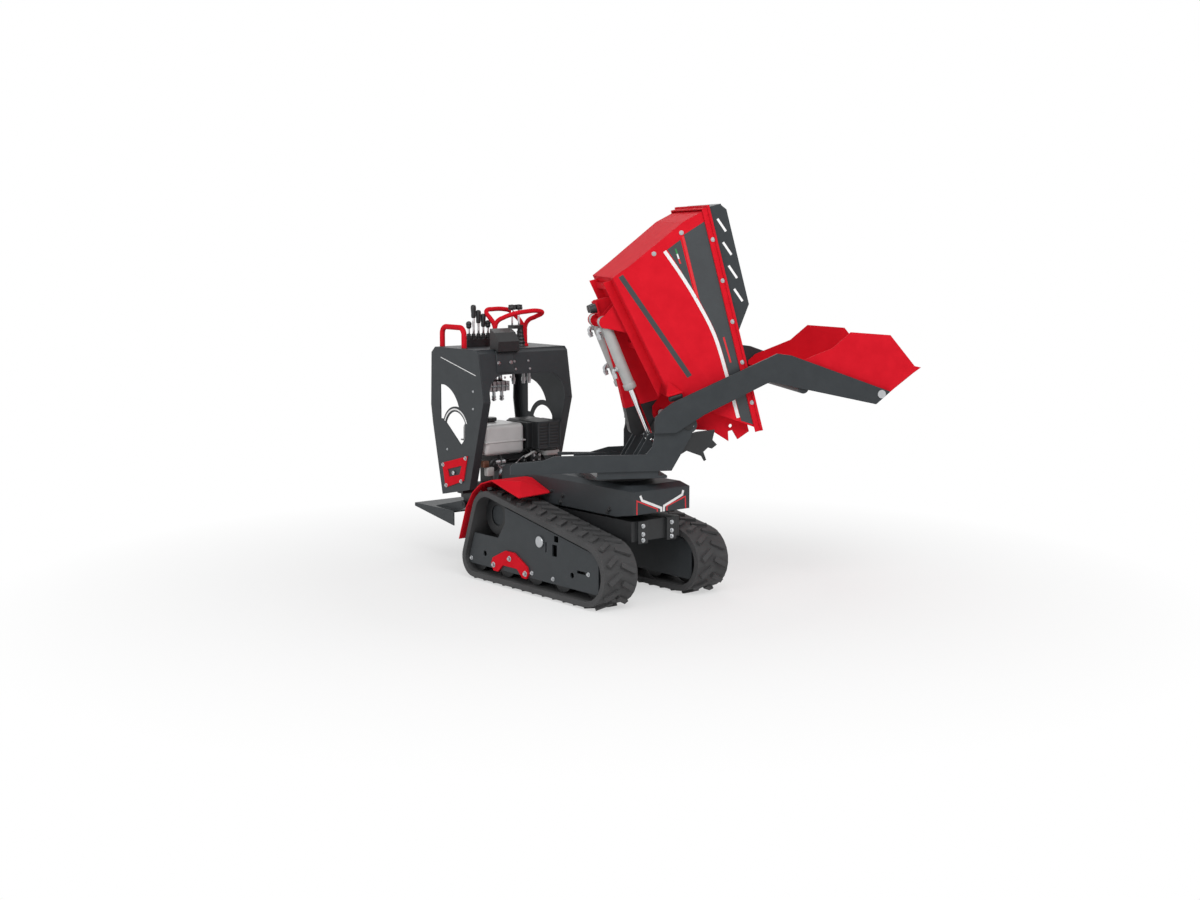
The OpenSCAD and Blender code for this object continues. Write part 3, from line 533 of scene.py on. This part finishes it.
hoodBolts = {"y": 175, "spots": [(-344, 527), (-126, 480), (-33, 467), (-55, 431), (327, 445), (315, 432)],
             "radius": 8}
boltSet("hoodBolts", bothSides(hoodBolts), blackSteel, "chassis")
trackBolts = {"y": 372, "spots": [(-542, 103), (-28, 104), (141, 102), (412, 167)], "radius": 7}
boltSet("trackFrameBolts", bothSides(trackBolts), zincSteel, "chassis")
rockerBolts = {"y": 382, "spots": [(-335, 100), (-200, 150), (-70, 95)], "radius": 9}
boltSet("rockerBolts", bothSides(rockerBolts), zincSteel, "chassis")
tubeCap = {"at": (39, 372, 269), "rings": [(29, 0), (29, 5), (27, 8), (14, 9), (4, 9)]}
fasten(standingPair(tubeCap, sides=28), "crossTubeCaps", zincSteel, "chassis")
badgeBolts = {"y": 292, "spots": [(-706, 590), (-914, 536), (-748, 465), (-887, 429)], "radius": 7}
boltSet("badgeBolts", bothSides(badgeBolts), zincSteel, "chassis")
badgeLock = {"at": (-818, 292, 502), "rings": [(11, 0), (11, 3), (9, 5), (5, 5), (5, 3), (2, 3)]}
fasten(standingPair(badgeLock, sides=20), "badgeLocks", zincSteel, "chassis")
consoleBolts = {"y": 287, "spots": [(-638, 942), (-639, 852), (-880, 621)], "radius": 4}
boltSet("consoleBolts", bothSides(consoleBolts), zincSteel, "chassis")
skipBolts = {"rim": [-806, -609, -411, -213, -15], "rimV": 309, "rimH": 330,
             "wall": [(-873, 195), (-811, 47)], "radius": 7}
places = []
for side in (-1, 1):
    for x in skipBolts["rim"]:
        point = onSkip(x, side * skipBolts["rimV"], skipBolts["rimH"])
        places.append((point, skipWay(0, side, 0), skipBolts["radius"]))
    for x, h in skipBolts["wall"]:
        places.append((skipSkin(x, h, side, 0), skipWay(0, side, -flank["lean"]), skipBolts["radius"]))
boltSet("skipBolts", places, zincSteel, "skip")
print("bolts set")


# engine: tank, cap, silencer slats, air box, spark plug and lines

tank = {"low": (-838, -225, 602), "high": (-615, 25, 762), "round": 26, "steps": 5, "seam": 672, "lip": 4,
        "lipRound": 3}
shell = block(tank["low"], tank["high"], tank["round"], tank["steps"])
lip = block((tank["low"][0] - tank["lip"], tank["low"][1] - tank["lip"], tank["seam"] - tank["lip"]),
            (tank["high"][0] + tank["lip"], tank["high"][1] + tank["lip"], tank["seam"] + tank["lip"]),
            tank["lipRound"])
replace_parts(fasten(joined([shell, lip]), "tankShell", tankPlastic, "chassis"), "fuel_tank")

tankCap = {"at": (-770, -95, 760),
           "rings": [(30, 0), (30, 6), (39, 7), (40, 10), (40, 22), (37, 25), (20, 26)]}
fasten(standing(tankCap, up, sides=20), "tankCap", blackPlastic, "chassis", smooth=14)

slat = {"wide": 56, "tall": 12, "thick": 2, "round": 0.6, "lean": 28, "low": 637, "pitch": 16, "count": 7,
        "from": [83, 151], "front": -566}
slatModel = block((-slat["thick"] / 2, 0, 0), (slat["thick"] / 2, slat["wide"], slat["tall"]),
                  slat["round"], 1)
slatTurn = Matrix.Rotation(radians(-slat["lean"]), 4, "Y")
points = [onChassis(slat["front"], y, slat["low"] + slat["pitch"] * k)
          for k in range(slat["count"]) for y in slat["from"]]
slats = repeated(slatModel, [Matrix.Translation(point) @ slatTurn for point in points])
slatRim = {"x": (-569, -562), "round": 1.5,
           "bars": [((70, 623), (221, 631)), ((70, 758), (221, 766)), ((70, 623), (77, 766)),
                    ((214, 623), (221, 766)), ((141, 623), (149, 766))]}
for low, high in slatRim["bars"]:
    slats.append(block((slatRim["x"][0], *low), (slatRim["x"][1], *high), slatRim["round"], 1))
# the slats and their rim are black; the lighter grey paint on them is a painted highlight for their lit edges
fasten(joined(slats), "silencerSlats", greyPaint, "chassis")

airBox = {"low": (-838, 70, 640), "high": (-724, 222, 766), "round": 12, "steps": 3,
          "lidLow": (-842, 66, 738), "lidHigh": (-720, 226, 757), "lidRound": 5}
lid = block(airBox["lidLow"], airBox["lidHigh"], airBox["lidRound"])
box = block(airBox["low"], airBox["high"], airBox["round"], airBox["steps"])
fasten(joined([box, lid]), "airBox", blackPlastic, "chassis")

plugBoot = {"at": (-660, 20, 560),
            "rings": [(11, 0), (11, 9), (8, 10), (8, 22), (12, 23), (13, 27), (12, 52), (8, 56)]}
fasten(standing(plugBoot, ahead, sides=16), "sparkPlugBoot", blackPlastic, "chassis")

bowl = {"at": (-634, -115, 430), "rings": [(8, 0), (20, 3), (26, 9), (27, 26), (24, 30), (24, 42)]}
clamp = {"at": (-612, -115, 505),
         "rings": [(26, 0), (28, 2), (28, 10), (25, 12), (19, 13), (19, 22), (16, 24)]}
fasten(joined([standing(bowl, up), standing(clamp, ahead)]), "carburettorBowl", zincSteel, "chassis")

lines = {"throttle": [(-612, -92, 530), (-596, -60, 552), (-606, 10, 590), (-625, 60, 598)],
         "spring": [(-606, -128, 520), (-590, -100, 470), (-604, -40, 452), (-636, 40, 448)], "rodRadius": 2,
         "fuel": [(-640, -120, 606), (-622, -124, 580), (-616, -135, 545), (-620, -140, 520)],
         "breather": [(-650, 60, 560), (-622, 66, 592), (-640, 78, 640), (-700, 90, 690)], "hoseRadius": 5}
rods = [chassisPipe(lines[k], lines["rodRadius"]) for k in ("throttle", "spring")]
fasten(joined(rods), "throttleRods", zincSteel, "chassis")
hoses = [chassisPipe(lines[k], lines["hoseRadius"]) for k in ("fuel", "breather")]
fasten(joined(hoses), "engineLines", blackPlastic, "chassis")

# intake side and cylinder head, as far as the console lets them show
intake = {"at": (-640, -165, 552),
          "rings": [(30, 0), (32, 3), (32, 14), (28, 18), (15, 19), (15, 23), (11, 25)],
          "headLow": (-655, 60, 545), "headHigh": (-606, 128, 600), "headRound": 14, "headSteps": 3}
head = [standing(intake, ahead),
        block(intake["headLow"], intake["headHigh"], intake["headRound"], intake["headSteps"])]
fasten(joined(head), "intakeCover", blackPlastic, "chassis")
castings = {"blocks": [((-640, -222, 500), (-606, -180, 546), 5), ((-640, 130, 582), (-576, 224, 610), 6)],
            "elbow": [(-612, 18, 580), (-596, 40, 596), (-598, 66, 606), (-606, 90, 600)], "elbowRadius": 6}
cast = [block(*b) for b in castings["blocks"]] + [chassisPipe(castings["elbow"], castings["elbowRadius"])]
fasten(joined(cast), "engineCastings", barrelGrey, "chassis")
fuelFilter = {"low": (-640, -243, 546), "high": (-608, -210, 580), "round": 4}
fasten(block(fuelFilter["low"], fuelFilter["high"], fuelFilter["round"]), "fuelFilter", bronze, "chassis")
# each wire's three stops, and the step to the next wire
governor = {"stops": [((-606, -158, 556), (0, 18, -6)), ((-594, -132, 520), (0, 16, 0)),
                      ((-602, -112, 468), (0, 14, 0))], "count": 3, "radius": 2.5}
wires = [chassisPipe([Vector(at) + k * Vector(step) for at, step in governor["stops"]], governor["radius"])
         for k in range(governor["count"])]
fasten(joined(wires), "governorWires", zincSteel, "chassis")
headBolts = {"x": -606, "spots": [(76, 588), (112, 588), (76, 557), (112, 557)], "radius": 5}
places = [(onChassis(headBolts["x"], y, z), ahead, headBolts["radius"]) for y, z in headBolts["spots"]]
boltSet("headBolts", places, zincSteel, "chassis")
print("engine dressed")


# valve bank under the console: hexagon unions and their stubs

unions = {"low": [(-690, -170 + 50 * k, 906) for k in range(3)],
          "lowRings": [(13, 0), (13, 9), (10, 10), (10, 13), (14, 14), (14, 22), (8, 23), (8, 27)],
          "top": [(-700, -174 + 34 * k, 984) for k in range(4)], "topRings": [(14, 0), (14, 10), (11, 12)],
          "hung": [(-650, y, 1150) for y in (-23, 43, 79)],
          "hungRings": [(8, 0), (8, 150), (12, 151), (12, 170), (9, 171), (9, 184)]}
hexagon = 6
stubs = []
for row, way in (("low", down), ("top", up), ("hung", down)):
    stubs += repeated(turned(unions[row + "Rings"], hexagon),
                      [facing(onChassis(*point), way) for point in unions[row]])
fasten(joined(stubs), "valveUnions", zincSteel, "chassis", smooth=20)


# valve sections: black gaskets round the bank, a hexagon plug on each section

sections = {"from": -190, "pitch": 27, "count": 5, "x": (-763, -637), "z": (932, 988), "gasketHalf": 2,
            "gasketRound": 1, "front": -640, "plugZ": 962,
            "plug": [(9, 0), (9, 7), (7, 8), (5, 8), (5, 14), (3, 15)]}
gasket = block((sections["x"][0], -sections["gasketHalf"], sections["z"][0]),
               (sections["x"][1], sections["gasketHalf"], sections["z"][1]), sections["gasketRound"], 1)
seams = [sections["from"] + sections["pitch"] * k for k in range(1, sections["count"])]
gaskets = repeated(gasket, [Matrix.Translation(onChassis(0, y, 0)) for y in seams])
middles = [sections["from"] + sections["pitch"] * (k + 0.5) for k in range(sections["count"])]
plugs = repeated(turned(sections["plug"], hexagon),
                 [facing(onChassis(sections["front"], y, sections["plugZ"]), ahead) for y in middles])
fasten(joined(gaskets), "valveGaskets", blackPlastic, "chassis")
fasten(joined(plugs), "valvePlugs", zincSteel, "chassis", smooth=20)
print("valves dressed")


# levers on the console: ribbed boots, chromed stems, moulded knobs

levers = {"x": -832, "ys": [-176, -146, -115, -84, -54], "tops": [1290, 1374, 1346, 1326, 1292], "foot": 1195,
          "boot": [(16, 0), (16, 3), (13, 6), (15, 9), (15, 11), (12, 14), (13.5, 17), (13.5, 19), (10.5, 22),
                   (11.5, 25), (11, 28), (6, 32)],
          "ball": [(6, -15), (10, -12), (14, -6), (15.5, 0), (14, 7), (10, 12), (4, 15)], "balls": (0, 4),
          "ballDrop": 14,
          "grip": [(8, -68), (11, -65), (12.5, -56), (12, -44), (14, -24), (14.5, -12), (13, -3), (8, 1),
                   (3, 2)],
          "stemFoot": 1226, "stemShort": 20, "stemRadius": 6.4, "stemTip": 6}
boots = repeated(turned(levers["boot"], sides=20),
                 [facing(onChassis(levers["x"], y, levers["foot"]), up) for y in levers["ys"]])
stems, balls, grips = [], [], []
for k, (y, top) in enumerate(zip(levers["ys"], levers["tops"])):
    tall = top - levers["stemFoot"] - levers["stemShort"]
    stem = [(levers["stemTip"], 0), (levers["stemRadius"], 1), (levers["stemRadius"], tall - 2),
            (levers["stemTip"], tall)]
    stems.append(stood(turned(stem, sides=14), onChassis(levers["x"], y, levers["stemFoot"]), up))
    if k in levers["balls"]:
        balls.append(facing(onChassis(levers["x"], y, top - levers["ballDrop"]), up))
    else:
        grips.append(facing(onChassis(levers["x"], y, top), up))
knobs = (repeated(turned(levers["ball"], sides=20), balls)
         + repeated(turned(levers["grip"], sides=20), grips))
fasten(joined(boots), "leverBoots", blackPlastic, "chassis")
fasten(joined(stems), "leverStems", rodChrome, "chassis")
fasten(joined(knobs), "leverKnobs", blackPlastic, "chassis")

driveBoot = {"at": (-755, 105, 1155), "foot": 32.5, "taper": 1.45, "out": 1.6, "in": -1.2, "rise": 9.2,
             "land": 3.4, "draft": 0.2, "folds": 11, "rings": []}
for k in range(driveBoot["folds"]):
    reach = driveBoot["foot"] - driveBoot["taper"] * k + driveBoot["in" if k % 2 else "out"]
    driveBoot["rings"].append((reach, driveBoot["rise"] * k))
    driveBoot["rings"].append((reach - driveBoot["draft"], driveBoot["rise"] * k + driveBoot["land"]))
fasten(standing(driveBoot, up, sides=28), "driveBoot", blackPlastic, "chassis")
drive = {"x": -772, "ys": [60, 104], "top": 1345, "foot": 1262,
         "knob": [(9, 0), (18, 1), (20.5, 5), (20.5, 14), (18, 22), (12, 27), (4, 29)],
         "stem": [(5, 0), (5.4, 1), (5.4, 84), (5, 85)]}
knobs = repeated(turned(drive["knob"], sides=24),
                 [facing(onChassis(drive["x"], y, drive["top"]), up) for y in drive["ys"]])
fasten(joined(knobs), "driveKnobs", blackPlastic, "chassis")
stems = repeated(turned(drive["stem"], sides=14),
                 [facing(onChassis(drive["x"], y, drive["foot"]), up) for y in drive["ys"]])
fasten(joined(stems), "driveStems", rodChrome, "chassis")
stopButton = {"at": (-755, 116, 1240), "rings": [(8, 0), (8, 8), (11, 9), (12, 12), (12, 22), (9, 25)]}
fasten(standing(stopButton, left, sides=20), "stopButton", redInk, "chassis")
print("levers dressed")


# handlebars: two bent tubes on round feet

bars = {"front": [(-735, -80, 1150), (-735, -80, 1225), (-734, -77, 1262), (-727, -68, 1290),
                  (-700, -40, 1313), (-668, 0, 1331), (-645, 56, 1341), (-636, 130, 1343),
                  (-646, 164, 1332), (-685, 148, 1310), (-716, 127, 1292), (-732, 118, 1264),
                  (-735, 117, 1225), (-735, 117, 1150)],
        "rear": [(-775, -34, 1150), (-779, -40, 1225), (-788, -50, 1280), (-804, -62, 1308),
                 (-823, -69, 1330), (-838, -52, 1346), (-841, -20, 1349), (-841, 60, 1347),
                 (-836, 92, 1339), (-820, 110, 1318), (-800, 132, 1286), (-782, 146, 1240),
                 (-775, 148, 1150)],
        "radius": 12, "sides": 4, "smooth": 8, "foot": [(17, 0), (17, 5), (15, 8), (12, 9), (12, 12)],
        "footZ": 1155}
tubes = [chassisPipe(bars[k], bars["radius"], bars["sides"], bars["smooth"]) for k in ("front", "rear")]
ends = [bars[k][end] for k in ("front", "rear") for end in (0, -1)]
feet = repeated(turned(bars["foot"], sides=24),
                [facing(onChassis(x, y, bars["footZ"]), up) for x, y, z in ends])
barPair = fasten(joined(tubes + feet), "handlebarTubes", redPaint, "chassis", smooth=40)
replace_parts(barPair, "handlebars")
print("handlebars bent")


# tipping rams: glands, port bosses and elbows, along the line of each ram

ram = {"top": (-89.1, 1327.9), "angle": 157.78, "v": 110, "barrel": 345,
       "gland": [(24, -30), (30, -29), (31, -27), (31, -5), (29, -1), (22, 0), (20, 4), (17, 5)],
       "boss": [(14, 24), (14, 31), (12, 32)], "nut": [(11, 31), (12, 32), (12, 41), (10, 42)],
       "ports": [30, 232],
       "elbow": [(34, 0), (43, 0), (47, 4), (48, 13), (48, 26)], "elbowRadius": 9,
       "collar": [(11, 0), (12.5, 1), (12.5, 13), (10, 14), (10, 24)], "collarX": 48, "collarZ": 16}
ramFrame = (slewFrame @ Matrix.Translation((ram["top"][0] * mm, 0, ram["top"][1] * mm))
            @ Matrix.Rotation(radians(ram["angle"]), 4, "Y"))


def onRam(x, v, z):
    return ramFrame @ (Vector((x, v, z)) * mm)


def ramWay(x, v, z):
    return (ramFrame.to_3x3() @ Vector((x, v, z))).normalized()


ramSides = (-ram["v"], ram["v"])
ports = [(v, z) for v in ramSides for z in ram["ports"]]
portPlaces = [facing(onRam(0, v, z), ramWay(1, 0, 0)) for v, z in ports]
glands = repeated(turned(ram["gland"], sides=28),
                  [facing(onRam(0, v, ram["barrel"]), ramWay(0, 0, 1)) for v in ramSides])
glands += repeated(turned(ram["boss"], sides=20), portPlaces)
fittings = repeated(turned(ram["nut"], hexagon), portPlaces)
fittings += [pipe([onRam(x, v, z + along) for x, along in ram["elbow"]], ram["elbowRadius"])
             for v, z in ports]
fittings += repeated(turned(ram["collar"], hexagon),
                     [facing(onRam(ram["collarX"], v, z + ram["collarZ"]), ramWay(0, 0, 1))
                      for v, z in ports])
fasten(joined(glands), "ramGlands", barrelGrey, "tip_barrels")
fasten(joined(fittings), "ramFittings", zincSteel, "tip_barrels", smooth=30)
print("rams dressed")


# rubber buffers on the skip's flanks, each on a small red bracket

buffer = {"x": (-146, -118), "v": (252, 290), "h": (-48, 18), "round": 8, "steps": 3}
bracket = {"x": (-151, -146), "v": (244, 294), "h": (-54, 22), "round": 1.5, "steps": 2,
           "gusset": [(-212, -32), (-149, -56), (-149, 20), (-172, 4)], "gussetV": 262, "gussetThick": 6}


def skipBlock(spec, side):
    near, far = sorted((side * spec["v"][0], side * spec["v"][1]))
    return block((spec["x"][0], near, spec["h"][0]), (spec["x"][1], far, spec["h"][1]), spec["round"],
                 spec["steps"])


rubber, brackets = [], []
for side in (-1, 1):
    rubber.append(skipBlock(buffer, side))
    brackets.append(skipBlock(bracket, side))
    brackets.append(sheetFrom([Vector((x, side * bracket["gussetV"], h)) * mm for x, h in bracket["gusset"]],
                              (0, side * bracket["gussetThick"] * mm, 0)))
for pieces, name, finish, slotName in ((rubber, "skipBuffers", blackPlastic, "black_parts"),
                                       (brackets, "bufferBrackets", redPaint, "red_paint")):
    group = joined(pieces)
    group.matrix_world = skipFrame
    fasten(group, name, finish, "skip")

# weld beads close the seams where the floor meets the two end walls
bead = {"heel": [(-746.5, -160), (-733, -154.6), (-752.8, -145)],
        "toe": [(-136, -29), (-149, -28.6), (-124.5, -14)], "v": 243}
welds = [sheetFrom([onSkip(x, -bead["v"], h) for x, h in bead[end]], skipWay(0, 1, 0) * 2 * bead["v"] * mm)
         for end in ("heel", "toe")]
fasten(joined(welds), "skipWelds", redPaint, "skip")
print("buffers and welds set")


# pin ends and latch plates of the upper frame

pinBolts = {"u": 292, "z": 847, "v": 328, "radius": 6}
places = [(onSlew(pinBolts["u"], s * pinBolts["v"], pinBolts["z"]), slewWay(0, s, 0), pinBolts["radius"])
          for s in (-1, 1)]
boltSet("pinBolts", places, zincSteel, "slew")
pinCover = {"v": 332, "rings": [(26, 0), (26, 3), (24.5, 4), (13, 4), (12, 5), (4, 5)]}
covers = repeated(turned(pinCover["rings"], sides=28),
                  [facing(onSlew(tipPoint[0] / mm, s * pinCover["v"], tipPoint[1] / mm), slewWay(0, s, 0))
                   for s in (-1, 1)])
fasten(joined(covers), "pinCovers", blackSteel, "slew")
latch = {"outline": [(200, 690), (266, 729), (338, 702), (352, 678), (362, 684), (348, 722), (370, 742),
                     (389, 736), (414, 755), (392, 778), (403, 826), (316, 818), (250, 800)],
         "v": 308, "thick": 11}
plates = [sheetFrom([onSlew(u, s * latch["v"], z) for u, z in latch["outline"]],
                    slewWay(0, s, 0) * latch["thick"] * mm) for s in (-1, 1)]
fasten(joined(plates), "latchBrackets", blackSteel, "slew", smooth=0)


# bolts of the nose, and the leaning front of the console with its plate

noseBolts = {"x": 474, "spots": [(90, 374), (90, 334), (90, 306)], "radius": 7}
places = [(onChassis(noseBolts["x"], s * y, z), ahead, noseBolts["radius"])
          for y, z in noseBolts["spots"] for s in (-1, 1)]
boltSet("noseBolts", places, zincSteel, "chassis")
front = {"foot": (-548, 0, 889), "lean": -9.69, "rise": 0.986,
         "plateLow": (0, -180, 149), "plateHigh": (5, -74, 262), "plateRound": 2,
         "onPlate": [(-167, 1085), (-90, 1086)], "onPlateRadius": 6.5,
         "onSheet": [(-64, 1090), (-61, 1050), (25, 1089), (30, 1048), (-136, 1011), (-99, 1013)],
         "onSheetRadius": 4}
consoleTilt = Matrix.Translation(onChassis(*front["foot"])) @ Matrix.Rotation(radians(front["lean"]), 4, "Y")
frontWay = (consoleTilt.to_3x3() @ ahead).normalized()
places = []
for spots, lift in (("onPlate", front["plateHigh"][0]), ("onSheet", 0)):
    for y, z in front[spots]:
        point = consoleTilt @ onChassis(lift, y, (z - front["foot"][2]) / front["rise"])
        places.append((point, frontWay, front[spots + "Radius"]))
boltSet("consoleFrontBolts", places, zincSteel, "chassis")
plate = block(front["plateLow"], front["plateHigh"], front["plateRound"])
plate.matrix_world = consoleTilt
fasten(plate, "consoleFrontPlate", greyPaint, "chassis")
thrownAway(bolt)
print("pins, latches and fronts set")


# floor, light and camera

# rays that see the backdrop, straight or in a reflection
def looking(tree):
    path = nodeIn(tree, "ShaderNodeLightPath", -1100, 500)
    glossy = nodeIn(tree, "ShaderNodeMath", -900, 500, operation="MAXIMUM")
    through = nodeIn(tree, "ShaderNodeMath", -700, 500, operation="MAXIMUM")
    tree.links.new(path.outputs["Is Camera Ray"], glossy.inputs[0])
    tree.links.new(path.outputs["Is Glossy Ray"], glossy.inputs[1])
    tree.links.new(glossy.outputs["Value"], through.inputs[0])
    tree.links.new(path.outputs["Is Transmission Ray"], through.inputs[1])
    return through.outputs["Value"]


floor = {"half": 40, "shade": "#f3f3f3", "rough": 0.9, "shine": 0.1, "clear": 3.0, "fade": 1.2, "least": 0.55}
letGo()
bpy.ops.mesh.primitive_plane_add(size=2 * floor["half"])
ground = bpy.context.object
ground.name = "ground"
paper = bpy.data.materials.new("paper")
paper.use_nodes = True
t = paper.node_tree
bsdf = t.nodes["Principled BSDF"]
bsdf.inputs["Base Color"].default_value = linear(floor["shade"])
bsdf.inputs["Roughness"].default_value = floor["rough"]
bsdf.inputs["Specular IOR Level"].default_value = floor["shine"]
where = nodeIn(t, "ShaderNodeTexCoord", -900, 0)
far = nodeIn(t, "ShaderNodeVectorMath", -700, 0, operation="LENGTH")
t.links.new(where.outputs["Object"], far.inputs[0])
span = nodeIn(t, "ShaderNodeMapRange", -500, 0)
span.inputs["From Min"].default_value = floor["fade"]
span.inputs["From Max"].default_value = floor["clear"]
span.inputs["To Min"].default_value = floor["least"]
t.links.new(far.outputs["Value"], span.inputs["Value"])
seen = nodeIn(t, "ShaderNodeMath", -300, 200, operation="MULTIPLY")
t.links.new(looking(t), seen.inputs[0])
t.links.new(span.outputs["Result"], seen.inputs[1])
glow = nodeIn(t, "ShaderNodeEmission", -300, -200)
glow.inputs["Color"].default_value = (1, 1, 1, 1)
both = nodeIn(t, "ShaderNodeMixShader", 100, 100)
t.links.new(seen.outputs["Value"], both.inputs["Fac"])
t.links.new(bsdf.outputs["BSDF"], both.inputs[1])
t.links.new(glow.outputs["Emission"], both.inputs[2])
t.links.new(both.outputs["Shader"], t.nodes["Material Output"].inputs["Surface"])
ground.data.materials.append(paper)

fillLight = 0.46
sky = bpy.data.worlds.new("studio")
bpy.context.scene.world = sky
sky.use_nodes = True
t = sky.node_tree
fill = t.nodes["Background"]
fill.inputs["Color"].default_value = (1, 1, 1, 1)
fill.inputs["Strength"].default_value = fillLight
seenSky = nodeIn(t, "ShaderNodeBackground", 0, -200)
seenSky.inputs["Color"].default_value = (1, 1, 1, 1)
pick = nodeIn(t, "ShaderNodeMixShader", 250, 0)
t.links.new(looking(t), pick.inputs["Fac"])
t.links.new(fill.outputs["Background"], pick.inputs[1])
t.links.new(seenSky.outputs["Background"], pick.inputs[2])
t.links.new(pick.outputs["Shader"], t.nodes["World Output"].inputs["Surface"])

lamps = {"key": {"at": (5.0, -2.0, 6.0), "size": 4.0, "watts": 225},
         "side": {"at": (1.5, -7.0, 3.5), "size": 4.0, "watts": 120},
         "back": {"at": (-5.0, 4.0, 5.0), "size": 4.0, "watts": 50}}
lampAim = Vector((0, 0.2, 0.8))
for name, lamp in lamps.items():
    bpy.ops.object.light_add(type="AREA", location=lamp["at"])
    light = bpy.context.object
    light.name = name
    light.data.size = lamp["size"]
    light.data.energy = lamp["watts"]
    light.rotation_euler = (lampAim - Vector(lamp["at"])).to_track_quat("-Z", "Y").to_euler()

cameraView = {"at": (6.325, -5.107, 1.736), "turn": (82.608, 0, 50.906), "lens": 49.64, "sensor": 36}
bpy.ops.object.camera_add(location=cameraView["at"], rotation=[radians(a) for a in cameraView["turn"]])
camera = bpy.context.object
camera.data.lens = cameraView["lens"]
camera.data.sensor_width = cameraView["sensor"]
bpy.context.scene.camera = camera
bpy.context.scene.view_settings.view_transform = "Standard"
print("studio set")
